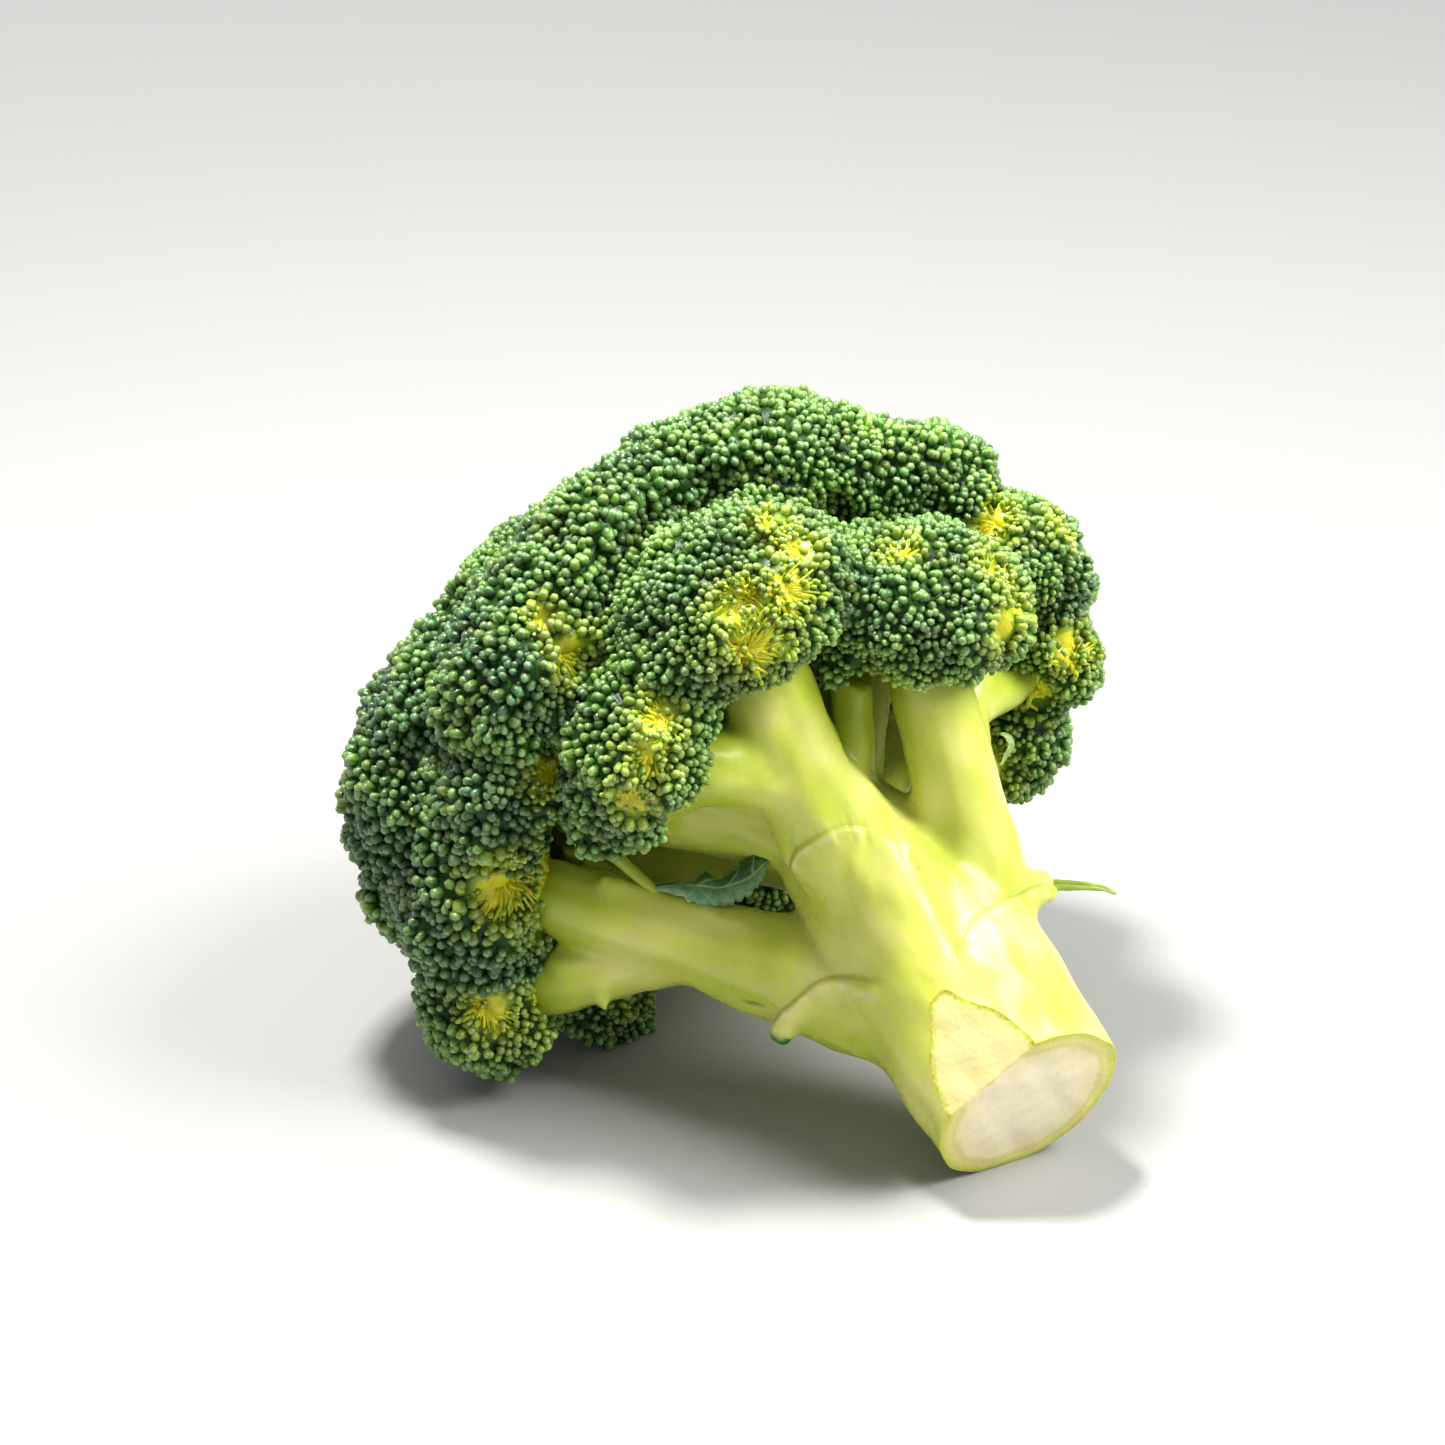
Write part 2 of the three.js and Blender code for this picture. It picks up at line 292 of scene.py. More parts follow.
def spread(points, radii, order):
    """Keeps points in the given order, none nearer to a kept one than its radius."""
    cell = radii.max()
    grid = {}
    kept = []
    keys = np.floor(points / cell).astype(int)
    around = [(i, j, k) for i in (-1, 0, 1) for j in (-1, 0, 1) for k in (-1, 0, 1)]
    for n in order:
        x, y, z = points[n]
        a, b, c = keys[n]
        reach = radii[n] ** 2
        clear = True
        for i, j, k in around:
            for u, v, w in grid.get((a + i, b + j, c + k), ()):
                if (u - x) ** 2 + (v - y) ** 2 + (w - z) ** 2 < reach:
                    clear = False
                    break
            if not clear:
                break
        if clear:
            grid.setdefault((a, b, c), []).append((x, y, z))
            kept.append(n)
    return np.array(kept, int)


# ---- the frame's places -------------------------------------------------------------------
HEADS = [name[5:] for name in sorted(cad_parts) if name.startswith("head_")]
BRANCHES = [name for name in sorted(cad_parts) if name.startswith("branch_")]


def within(node, shares):
    """The point, or the points, at these shares of the way across a node's box."""
    low, high = (np.array(corner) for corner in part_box(node))
    return low + (high - low) * np.array(shares)


fork = within("stalk", (0.43, 0.523, 0.64))  # where the stalk breaks up into limbs

bpy.ops.object.select_all(action="DESELECT")
graph = bpy.context.evaluated_depsgraph_get()
head_trees = {name: BVHTree.FromObject(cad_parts["head_" + name], graph) for name in HEADS}


# ---- shapes that are copied many times ----------------------------------------------------
CELL = 0.86  # of its square in the map, which each copy fills

BUD_LENGTH = 1.35  # of a bud's width
BUD_CORNERS = 0.09  # how far a bud is from round, towards three rounded corners
# A ball's height at each ring of points: the bud's width and height there, and its place in the map.
BUD_RINGS = {0.146: (0.37, 0.13), 0.5: (0.5, 0.5), 0.854: (0.35, 0.89)}
BUD_MAP = {0.0: 0.5, 0.146: 0.44, 0.5: 0.33, 0.854: 0.17, 1.0: 0.0}


def model_bud():
    """One closed bud with its map: a small egg, widest at its middle, with a blunt tip."""
    bpy.ops.object.select_all(action="DESELECT")
    bpy.ops.mesh.primitive_uv_sphere_add(segments=6, ring_count=4, radius=0.5, location=(0, 0, 0))
    ball = bpy.context.object
    points = points_of(ball.data) + [0, 0, 0.5]
    faces = [tuple(face.vertices) for face in ball.data.polygons]
    mesh = ball.data
    bpy.data.objects.remove(ball)
    bpy.data.meshes.remove(mesh)
    levels = np.array([min(BUD_MAP, key=lambda level: abs(level - z)) for z in points[:, 2]])
    angles = np.arctan2(points[:, 1], points[:, 0])
    shaped = points.copy()
    for i, level in enumerate(levels):
        wide, tall = BUD_RINGS.get(level, (0, level))
        wide *= 1 + BUD_CORNERS * math.cos(3 * angles[i])
        shaped[i] = (wide * math.cos(angles[i]), wide * math.sin(angles[i]), tall * BUD_LENGTH)
    places = []
    for face in faces:
        ring = [angles[i] for i in face if 0 < levels[i] < 1]
        middle = math.atan2(sum(map(math.sin, ring)), sum(map(math.cos, ring)))
        for i in face:
            angle = angles[i] if 0 < levels[i] < 1 else middle
            out = BUD_MAP[levels[i]]
            places.append((0.5 + out * math.cos(angle), 0.5 + out * math.sin(angle)))
    return shaped, faces, np.array(places)


def tube_faces(rings, sides):
    """The faces and the map of a closed tube: rings of points, and then one point for each end."""
    faces, places = [], []
    for j in range(rings - 1):
        for i in range(sides):
            k = (i + 1) % sides
            faces.append((j * sides + i, j * sides + k, (j + 1) * sides + k, (j + 1) * sides + i))
            low, high = 0.1 + 0.8 * j / (rings - 1), 0.1 + 0.8 * (j + 1) / (rings - 1)
            left, right = i / sides, (i + 1) / sides
            places += [(left, low), (right, low), (right, high), (left, high)]
    first, last = rings * sides, rings * sides + 1
    for i in range(sides):
        k = (i + 1) % sides
        faces.append((k, i, first))
        places += [((i + 1) / sides, 0.1), (i / sides, 0.1), ((i + 0.5) / sides, 0.0)]
        top = (rings - 1) * sides
        faces.append((top + i, top + k, last))
        places += [(i / sides, 0.9), ((i + 1) / sides, 0.9), ((i + 0.5) / sides, 1.0)]
    return faces, np.array(places)


def along_tube(rings, sides):
    """Each point's share along a closed tube, in the order that tubes gives its points."""
    return np.concatenate([np.repeat(np.linspace(0, 1, rings), sides), [0, 1]])


def across_of(axes):
    """Two directions across each axis."""
    helper = np.where(np.abs(axes[..., 2:]) < 0.9, [0, 0, 1.0], [1.0, 0, 0])
    first = unit(np.cross(axes, helper))
    return first, np.cross(axes, first)


def tubes(paths, radii, sides):
    """Points of many tubes. paths is tube by ring by place, and radii is tube by ring."""
    tangents = unit(np.gradient(paths, axis=1))
    first, second = across_of(tangents)
    turns = np.arange(sides) / sides * 2 * math.pi
    round_about = (
        np.cos(turns)[None, None, :, None] * first[:, :, None]
        + np.sin(turns)[None, None, :, None] * second[:, :, None]
    )
    rings = paths[:, :, None] + radii[:, :, None, None] * round_about
    start = paths[:, :1] - 0.5 * radii[:, :1, None] * tangents[:, :1]
    end = paths[:, -1:] + 0.5 * radii[:, -1:, None] * tangents[:, -1:]
    return np.concatenate([rings.reshape(len(paths), -1, 3), start, end], 1)


def copies(shape, at, axes, widths, lengths):
    """The points of many copies of a shape, a little flattened, each along its own axis."""
    flat = rng.uniform(0.82, 1.12, len(axes))[:, None, None]
    across, other = across_of(axes)
    turn = rng.uniform(0, 2 * math.pi, len(axes))[:, None]
    first = across * np.cos(turn) + other * np.sin(turn)
    second = np.cross(axes, first)
    return (
        at[:, None]
        + shape[None, :, 0, None] * widths[:, None, None] * flat * first[:, None]
        + shape[None, :, 1, None] * widths[:, None, None] * second[:, None]
        + shape[None, :, 2, None] * lengths[:, None, None] * axes[:, None]
    )


MAP_NAME = "OFBake"
CORE_SHARE = 0.3  # of the map's height, kept for the core


def assemble(name, core, core_tint, core_map, groups):
    """One mesh from a core and groups of copies, with a map that gives each copy a square."""
    points, tints = [core[0]], [core_tint]
    corners, sizes, places = [core[1]], [core[2]], [core_map]
    first = len(core[0])
    amount = sum(len(group[0]) for group in groups)
    columns = math.ceil(math.sqrt(amount / (1 - CORE_SHARE)))
    cell = 1 / columns
    used = 0
    for group_points, faces, group_map, tint in groups:
        many, step = group_points.shape[:2]
        shape_corners = np.concatenate([np.array(face) for face in faces])
        corners.append((shape_corners[None] + (first + np.arange(many) * step)[:, None]).ravel())
        sizes.append(np.tile([len(face) for face in faces], many))
        index = used + np.arange(many)
        corner = np.stack([index % columns, index // columns], 1) * cell
        inset = (1 - CELL) / 2 + CELL * group_map
        places.append((corner[:, None] + cell * inset[None]).reshape(-1, 2))
        points.append(group_points.reshape(-1, 3))
        tints.append(tint.reshape(-1, 4))
        first += many * step
        used += many
    points, corners, sizes = np.concatenate(points), np.concatenate(corners), np.concatenate(sizes)
    mesh = bpy.data.meshes.new(name)
    mesh.vertices.add(len(points))
    mesh.vertices.foreach_set("co", np.ascontiguousarray(points, np.float32).ravel())
    mesh.loops.add(len(corners))
    mesh.loops.foreach_set("vertex_index", np.ascontiguousarray(corners, np.int32))
    mesh.polygons.add(len(sizes))
    starts = np.concatenate([[0], np.cumsum(sizes)[:-1]])
    mesh.polygons.foreach_set("loop_start", np.ascontiguousarray(starts, np.int32))
    mesh.update(calc_edges=True)
    smooth(mesh)
    layer = mesh.uv_layers.new(name=MAP_NAME)
    layer.data.foreach_set("uv", np.ascontiguousarray(np.concatenate(places), np.float32).ravel())
    paint(mesh, "tint", np.concatenate(tints))
    mesh.validate()
    return mesh


# ---- how the heads grow -------------------------------------------------------------------
CORE_VOXEL = 1.3 * MM
BUD_SPACING = 1.42 * MM  # from one bud to the next on an average head
LOBE_SPACING = 11 * MM  # lobes are the bumps that a head divides into
CLUMP_SPACING = 4.6 * MM  # and each lobe's buds stand in clumps
LOBE_HEIGHT = 1.9 * MM
CLUMP_HEIGHT = 0.8 * MM
RIM_CLUMPS = 1.3  # how much more the clumps stand out round a head's lower edge
BUD_WIDTH = 1.3  # of the way to its neighbours
BUD_SUNK = 0.42  # of a bud's length, in the head
BARE_LEAN = 137  # degrees from the head's growth, past which stems show in place of buds
MAX_STRIDE = 6 * MM  # a rib with a longer step than this has missed the underside
BOWL_DEPTH = 1.5 * MM  # of the hollow that a fan lies in
FAN_STEMS = 11  # for each millimetre of a fan's radius
CLEARANCE = 0.7 * MM  # a bud with a neighbouring head nearer than this in front is left out
NEIGHBOUR_GAP = 5 * MM  # between the boxes of heads that can touch each other
ROOM_SEEN = 8 * MM  # how far a head looks for its neighbours
SEAM_SWELL = 2.6 * MM  # how far heads bulge towards a neighbour that they press against

# Heads whose buds are smaller or larger than on the others.
SPACING = {
    "front": 0.92,
    "front_right": 0.92,
    "front_left": 1.0,
    "top": 1.0,
    "left": 1.16,
    "lower_left": 1.16,
    "lower_outer": 1.14,
    "middle_left": 1.12,
    "top_left": 1.1,
    "shoulder_left": 1.1,
    "right": 0.92,
    "right_small": 0.85,
}

# How blue each head's bloom is, from 0 to 1.
BLUENESS = {
    "left": 1.0,
    "lower_left": 0.95,
    "lower_outer": 0.9,
    "middle_left": 0.7,
    "shoulder_left": 0.7,
    "top_left": 0.65,
    "rest_left": 0.5,
    "front": 0.4,
    "front_right": 0.3,
    "right": 0.25,
    "right_small": 0.05,
    "right_lower": 0.15,
}

# Fans of bare yellow stems: degrees from the head's growth, degrees round it, and millimetres
# across.
FANS = {
    "front": [(75, -61, 12), (88, -91, 14), (67, -89, 11), (63, -32, 10), (47, -13, 9)],
    "front_right": [(68, 121, 13), (41, 13, 8), (84, 98, 10), (52, 112, 10)],
    "right": [(88, 9, 11), (78, -6, 9), (60, 60, 8)],
    "right_small": [(85, 49, 11)],
    "shoulder_left": [(104, -48, 10), (81, -35, 7)],
    "middle_left": [(112, -44, 10), (97, -134, 8)],
    "front_left": [(64, -48, 10), (69, -83, 10), (80, -125, 9)],
    "lower_left": [(108, -63, 15)],
    "rest_left": [(104, -70, 12)],
    "top_right": [(85, -20, 8)],
    "right_lower": [(80, 40, 8)],
    "back_right": [(84, 60, 8)],
    "lower_right": [(92, 120, 9)],
    "rest_right": [(88, 70, 8)],
    "rest_back_left": [(90, -80, 9)],
}


def domes(points, centres, spacing):
    """1 on top of each bump, falling to 0 in the creases between bumps."""
    return 1 - np.minimum(nearest(points, centres) / (0.72 * spacing), 1) ** 2


def local_direction(growth, lean, clock):
    """A direction this far off a head's growth, this far round it from the top."""
    upright = unit(np.array([0, 0, 1.0]) - growth * growth[2])
    side = np.cross(growth, upright)
    tilt, turn = math.radians(lean), math.radians(clock)
    sideways = math.cos(turn) * upright + math.sin(turn) * side
    return math.cos(tilt) * growth + math.sin(tilt) * sideways


def covered(neighbours, at, facing):
    """Whether a bud here would be inside a neighbouring head or grow straight into it."""
    for other in neighbours:
        tree = head_trees[other]
        place, normal, _, gap = tree.find_nearest(Vector(at), 6 * MM)
        if place is None:
            continue
        if (Vector(at) - place).dot(normal) < 0 and gap > 0.5 * MM:
            return True
        if tree.ray_cast(Vector(at), Vector(facing), CLEARANCE)[0]:
            return True
    return False


bud_shape, bud_faces, bud_map = model_bud()
STEM_SIDES = 4
STEM_RINGS = 3
stem_faces, stem_map = tube_faces(STEM_RINGS, STEM_SIDES)
RIB_SIDES = 5
RIB_RINGS = 6
rib_faces, rib_map = tube_faces(RIB_RINGS, RIB_SIDES)


class Head:
    """A head's core, its directions and its bumps, while its buds are placed."""

    def __init__(self, name):
        self.name = name
        self.core = remesh(join("core_" + name, [node_mesh("head_" + name)]), CORE_VOXEL, 3)
        self.mesh = self.core.data
        self.points = points_of(self.mesh)
        self.centre = self.points.mean(0)
        self.growth = unit(self.centre - fork)
        self.reach = np.linalg.norm(self.points - self.centre, axis=1).mean()
        self.fans = []
        low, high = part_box("head_" + name)
        self.neighbours = []
        for other in HEADS:
            its_low, its_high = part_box("head_" + other)
            apart = max(max(its_low[k] - high[k], low[k] - its_high[k]) for k in range(3))
            if other != name and apart < NEIGHBOUR_GAP:
                self.neighbours.append(other)

    def room(self, points):
        """Each point's distance to the nearest other head, up to ROOM_SEEN."""
        gaps = np.full(len(points), ROOM_SEEN)
        for other in self.neighbours:
            tree = head_trees[other]
            for i, p in enumerate(points):
                gap = tree.find_nearest(Vector(p), gaps[i])[3]
                if gap is not None:
                    gaps[i] = gap
        return gaps

    def lean(self, points):
        return np.degrees(np.arccos(np.clip(unit(points - self.centre) @ self.growth, -1, 1)))

    def surface(self, direction):
        """Where a ray from the head's middle leaves its core."""
        hit = self.tree.ray_cast(Vector(self.centre + direction * 0.06), Vector(-direction))[0]
        return np.array(hit) if hit else self.centre + direction * 0.01

    def shape(self):
        """Raises lobes and clumps, hollows the underside, and sinks a bowl under each fan."""
        normals = normals_of(self.mesh)
        order = rng.permutation(len(self.points))
        even = np.ones(len(order))
        self.lobes = self.points[spread(self.points, even * LOBE_SPACING, order)]
        self.clumps = self.points[spread(self.points, even * CLUMP_SPACING, order[::-1])]
        lobe = domes(self.points, self.lobes, LOBE_SPACING)
        clump = domes(self.points, self.clumps, CLUMP_SPACING)
        lean = self.lean(self.points)
        rim = ramp(lean, 75, 105) * ramp(lean, 142, 125)
        rise = LOBE_HEIGHT * (lobe - 0.7) + CLUMP_HEIGHT * (1 + RIM_CLUMPS * rim) * (clump - 0.65)
        rise += 0.5 * MM * waves(self.points, 16 * MM, 3)
        room = self.room(self.points)
        under = ramp(lean, BARE_LEAN - 2, BARE_LEAN + 16) * ramp(room, 1 * MM, 6 * MM)
        rise = rise * (1 - under) - 2.2 * MM * under - 1.2 * MM
        rise += SEAM_SWELL * ramp(room, 4.2 * MM, 0.8 * MM)
        self.points += normals * rise[:, None]
        place_points(self.mesh, self.points)
        self.tree = BVHTree.FromObject(only(self.core), bpy.context.evaluated_depsgraph_get())
        self.bowl = np.zeros(len(self.points))
        for tilt, clock, across in FANS.get(self.name, []):
            direction = local_direction(self.growth, tilt, clock)
            middle = self.surface(direction)
            radius = across * MM / 2
            gap = np.linalg.norm(self.points - middle, axis=1) / radius
            inside = np.clip(1 - gap**2, 0, 1)
            self.bowl = np.maximum(self.bowl, inside)
            self.fans.append((middle, direction, radius))
        self.points -= normals * (self.bowl * BOWL_DEPTH)[:, None]
        self.points[:, 2] = np.maximum(self.points[:, 2], 0.3 * MM)
        place_points(self.mesh, self.points)
        self.tint = np.zeros((len(self.points), 4))
        # Painted shade: the core between the buds takes the dark low end of the buds' colours, lighter in a
        # fan's bowl.
        self.tint[:, 0] = 0.24 + 0.26 * ramp(self.bowl, 0, 0.4)
        self.tint[:, 1] = 0.5
        self.tint[:, 2] = np.maximum(under, ramp(self.bowl, 0.0, 0.5))
        # Painted shade: the core is darker in the creases between lobes and clumps.
        self.tint[:, 3] = 0.6 * lobe + 0.4 * clump

    def in_fans(self, points):
        """How far inside a fan each point is: 1 at its middle, 0 at its edge, less outside."""
        inside = np.full(len(points), -9.0)
        for middle, _, radius in self.fans:
            inside = np.maximum(inside, 1 - np.linalg.norm(points - middle, axis=1) / radius)
        return inside

    def grow_buds(self):
        """Buds all over the outside, packed as closely as they fit."""
        normals = normals_of(self.mesh)
        triangles = triangles_of(self.mesh)
        spacing = BUD_SPACING * SPACING.get(self.name, 1)
        area = scatter(self.points, normals, triangles, 1)[2]
        at, facing, _ = scatter(self.points, normals, triangles, int(11 * area / spacing**2))
        lean = self.lean(at)
        edge = BARE_LEAN + 6 * waves(at, 9 * MM, 5)
        fan = self.in_fans(at)
        open_sky = (lean < edge) & (fan < 0.04 + 0.12 * rng.random(len(at)))
        at, facing, lean, fan = at[open_sky], facing[open_sky], lean[open_sky], fan[open_sky]
        small = ramp(lean, 88, 114)
        local = spacing * (1 + 0.07 * waves(at, 15 * MM, 6)) * (1 - 0.22 * small)
        local = local * rng.uniform(0.93, 1.07, len(at))
        kept = spread(at, local, np.arange(len(at)))
        above = at + facing * 0.3 * MM
        kept = np.array([k for k in kept if not covered(self.neighbours, above[k], facing[k])])
        at, facing, lean, fan, local = at[kept], facing[kept], lean[kept], fan[kept], local[kept]
        room = self.room(at)

        neighbours = tree_of(at)
        gap = np.array([np.mean([hit[2] for hit in neighbours.find_n(p, 5)[1:]]) for p in at])
        width = BUD_WIDTH * np.clip(gap, 0.75 * local, 1.14 * local)
        width = width * rng.uniform(0.9, 1.08, len(at))
        length = width * rng.uniform(0.85, 1.25, len(at))
        outward = unit(at - self.centre)
        axes = unit(facing + 0.25 * outward + 0.33 * rng.normal(size=facing.shape))
        lift = rng.normal(0, 0.2 * MM, len(at)) + 0.12 * MM
        foot = at - facing * (BUD_SUNK * BUD_LENGTH * length - lift)[:, None]
        buds = copies(bud_shape, foot, axes, width, length)
        buds[:, :, 2] = np.maximum(buds[:, :, 2], 0.02 * MM)

        tint = np.empty((len(at), len(bud_shape), 4))
        # Each point's height up its bud; the material darkens the foot as painted shade from the neighbouring
        # buds.
        tint[:, :, 0] = bud_shape[None, :, 2] / BUD_LENGTH
        blue = BLUENESS.get(self.name, 0.45) + 0.35 * waves(at, 20 * MM, 8)
        blue = blue + rng.normal(0, 0.18, len(at))
        tint[:, :, 1] = np.clip(blue, 0, 1)[:, None]
        yellow = 0.6 * ramp(fan, -0.75, 0.1)
        yellow += 0.4 * ramp(lean, 104, 134) * ramp(room, 2 * MM, 7 * MM)
        yellow += 0.22 * ramp(waves(at, 12 * MM, 9), 0.6, 1.4) + 0.12 * rng.random(len(at)) ** 2
        tint[:, :, 2] = np.clip(yellow, 0, 0.75)[:, None]
        # Painted shade: buds in the creases between lobes and clumps are darkened.
        crease_shading = 0.6 * domes(at, self.lobes, LOBE_SPACING) + 0.4 * domes(at, self.clumps, CLUMP_SPACING)
        tint[:, :, 3] = (crease_shading * rng.uniform(0.7, 1.15, len(at)))[:, None]
        return buds, bud_faces, bud_map, tint

    def grow_fans(self):
        """In each bowl, bare stems that spread from one side of it, about two in three tipped with a tiny
        bud.
        """
        paths, radii, tips, ways, widths = [], [], [], [], []
        for middle, direction, radius in self.fans:
            first, second = across_of(direction)

            def laid(across, other, lift):
                """A place in the bowl, at distances from its middle and this far off its floor."""
                out = math.hypot(across, other)
                sunk = BOWL_DEPTH * max(0.0, 1 - (out / radius) ** 2) + out**2 / (2 * self.reach)
                return middle + first * across + second * other + direction * (lift - sunk)

            turn = rng.uniform(0, 2 * math.pi)
            root = np.array([math.cos(turn), math.sin(turn)]) * 0.35 * radius
            for _ in range(int(FAN_STEMS * radius / MM)):
                turn = rng.uniform(0, 2 * math.pi)
                out = radius * rng.uniform(0.3, 1.02)
                end = np.array([math.cos(turn), math.sin(turn)]) * out
                start = root + rng.uniform(0.1, 0.4) * (end - root) + rng.normal(0, 0.5 * MM, 2)
                thick = rng.uniform(0.28, 0.5) * MM
                half = (start + end) / 2 + rng.normal(0, 0.25 * MM, 2)
                lift = rng.uniform(-0.3, 0.35) * MM
                path = [laid(*start, -0.5 * MM), laid(*half, lift), laid(*end, lift)]
                paths.append(path)
                radii.append([thick * 1.1, thick, thick * 0.75])
                for _ in range(int(rng.random() < 0.65)):
                    side = end * 1.03 + rng.normal(0, 0.25 * MM, 2)
                    tip = laid(*side, lift + rng.uniform(-0.2, 0.2) * MM)
                    tips.append(tip)
                    ways.append(unit(tip - path[1] + direction * 1.2 * MM))
                    widths.append(rng.uniform(0.9, 1.45) * MM)
        if not paths:
            return []
        paths, radii, tips, ways, widths = map(np.array, (paths, radii, tips, ways, widths))
        stems = tubes(paths, radii, STEM_SIDES)
        along = along_tube(STEM_RINGS, STEM_SIDES)
        stem_tint = np.ones((len(stems), len(along), 4))
        stem_tint[:, :, 0] = along
        stem_tint[:, :, 1] = rng.random(len(stems))[:, None]
        buds = copies(bud_shape, tips, ways, widths, widths)
        tint = np.empty((len(buds), len(bud_shape), 4))
        # Height up each bud, which the material darkens at its foot as painted shade.
        tint[:, :, 0] = bud_shape[None, :, 2] / BUD_LENGTH
        tint[:, :, 1] = rng.random(len(buds))[:, None]
        tint[:, :, 2] = rng.uniform(0.35, 0.85, len(buds))[:, None]
        tint[:, :, 3] = 1
        return [(stems, stem_faces, stem_map, stem_tint), (buds, bud_faces, bud_map, tint)]

    def grow_ribs(self):
        """Stems that fan out under the head, from its branch to its edge."""
        amount = int(2 * math.pi * self.reach / (2.6 * MM))
        paths, radii = [], []
        for i in range(amount):
            clock = (i + rng.uniform(-0.35, 0.35)) / amount * 360
            last = BARE_LEAN + rng.uniform(4, 11)
            leans = np.linspace(172 - rng.uniform(0, 12), last, RIB_RINGS)
            sway = rng.normal(0, 7)
            lift = rng.uniform(0.1, 0.5) * MM
            path = []
            for k, lean in enumerate(leans):
                direction = local_direction(self.growth, lean, clock + sway * math.sin(k))
                path.append(self.surface(direction) + direction * lift)
            strides = np.linalg.norm(np.diff(path, axis=0), axis=1)
            if strides.max() > MAX_STRIDE:
                continue
            paths.append(path)
            thick = rng.uniform(0.42, 0.75) * MM
            radii.append(thick * np.linspace(1.5, 0.7, RIB_RINGS))
        paths, radii = np.array(paths), np.array(radii)
        ribs = tubes(paths, radii, RIB_SIDES)
        ribs[:, :, 2] = np.maximum(ribs[:, :, 2], 0.05 * MM)
        along = along_tube(RIB_RINGS, RIB_SIDES)
        tint = np.ones((len(ribs), len(along), 4))
        tint[:, :, 0] = 0.35 + 0.65 * along
        tint[:, :, 1] = rng.random(len(ribs))[:, None]
        # A little painted shade on the ribs under the head.
        tint[:, :, 3] = 0.8
        return ribs, rib_faces, rib_map, tint

    def core_places(self, corners):
        """The core's place in the map: a disc round the middle of its underside."""
        away = -self.growth
        first, second = across_of(away)
        offset = unit(self.points - self.centre)
        out = np.arccos(np.clip(offset @ away, -1, 1)) / math.pi
        turn = np.arctan2(offset @ second, offset @ first)
        radius = 0.48 * CORE_SHARE * out
        middle = np.array([0.5, 1 - CORE_SHARE / 2])
        return (middle + np.stack([radius * np.cos(turn), radius * np.sin(turn)], 1))[corners]

    def finish(self):
        self.shape()
        corners = read(self.mesh.loops, "vertex_index", 1)
        sizes = read(self.mesh.polygons, "loop_total", 1)
        groups = [self.grow_buds(), self.grow_ribs()] + self.grow_fans()
        core = (self.points, corners, sizes)
        whole = assemble("buds_" + self.name, core, self.tint, self.core_places(corners), groups)
        bpy.data.objects.remove(self.core)
        bpy.data.meshes.remove(self.mesh)
        piece = link("buds_" + self.name, whole)
        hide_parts("head_" + self.name)
        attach(piece, "root")
        return piece


def waxy_buds():
    """Closed flower buds: green sepals under a grey-green waxy bloom that dulls their shine."""
    material, tree = new_material("waxy_buds")
    tip, tone, yellow, crease_shading = painted(tree, "tint")
    place = put(tree, "TexCoord").outputs["Object"]
    speckle = put(tree, "TexNoise", {"Vector": place, "Scale": 1 / (0.9 * MM), "Detail": 3.0})
    uneven = put(tree, "MapRange", {0: speckle.outputs[0], 1: 0.3, 2: 0.7, 3: -0.16, 4: 0.16})
    height = put(tree, "Math", {0: tip, 1: uneven.outputs[0]}, operation="ADD")
    heights = (0.0, 0.38, 0.62, 0.84, 1.0)  # from a bud's foot to its tip
    # Painted shade: the colours darken towards a bud's foot, where its neighbours shade it; the paler tip is
    # its bloom.
    green_stops = zip(heights, ("#143009", "#32601a", "#54892b", "#7ba848", "#a4c775"))
    blue_stops = zip(heights, ("#0a1c08", "#1f4018", "#2f592a", "#497544", "#7ca274"))
    pale_stops = [(0.0, "#7aa00e"), (0.4, "#98b418"), (0.7, "#acc22e"), (1.0, "#c6d562")]
    stem_stops = [(0.0, "#e8dc50"), (0.3, "#e0d628"), (0.7, "#cccf1e"), (1.0, "#a0bd1c")]
    green = put(tree, "ValToRGB", {0: height.outputs[0]}, stops=[*green_stops])
    blue = put(tree, "ValToRGB", {0: height.outputs[0]}, stops=[*blue_stops])
    pale = put(tree, "ValToRGB", {0: height.outputs[0]}, stops=pale_stops)
    stem = put(tree, "ValToRGB", {0: tip}, stops=stem_stops)
    coat = blend_colours(tree, tone, green.outputs[0], blue.outputs[0])
    coat = blend_colours(tree, yellow, coat, pale.outputs[0])
    bare = put(tree, "MapRange", {0: yellow, 1: 0.92, 2: 0.99, 3: 0.0, 4: 1.0})
    coat = blend_colours(tree, bare.outputs[0], coat, stem.outputs[0])
    # Painted shade: the buds are darkened in the creases between lobes and clumps.
    painted_shade = put(tree, "MapRange", {0: crease_shading, 1: 0.0, 2: 0.85, 3: 0.5, 4: 1.0})
    coat = blend_colours(tree, 1.0, coat, painted_shade.outputs[0], "MULTIPLY")
    creases = put(tree, "TexNoise", {"Vector": place, "Scale": 1 / (0.6 * MM), "Detail": 2.0})
    bumps = put(tree, "Bump", {"Height": creases.outputs[0], "Strength": 0.5, "Distance": 0.3 * MM})
    shine = put(tree, "MapRange", {0: tip, 1: 0.1, 2: 0.5, 3: 0.05, 4: 0.62})
    looks = {
        "Base Color": coat,
        "Roughness": 0.31,
        "IOR": 1.45,
        "Specular IOR Level": shine.outputs[0],
        "Normal": bumps.outputs[0],
    }
    shader = put(tree, "BsdfPrincipled", looks)
    finish_material(tree, shader)
    return material


buds_material = waxy_buds()
for name in HEADS:
    Head(name).finish().data.materials.append(buds_material)

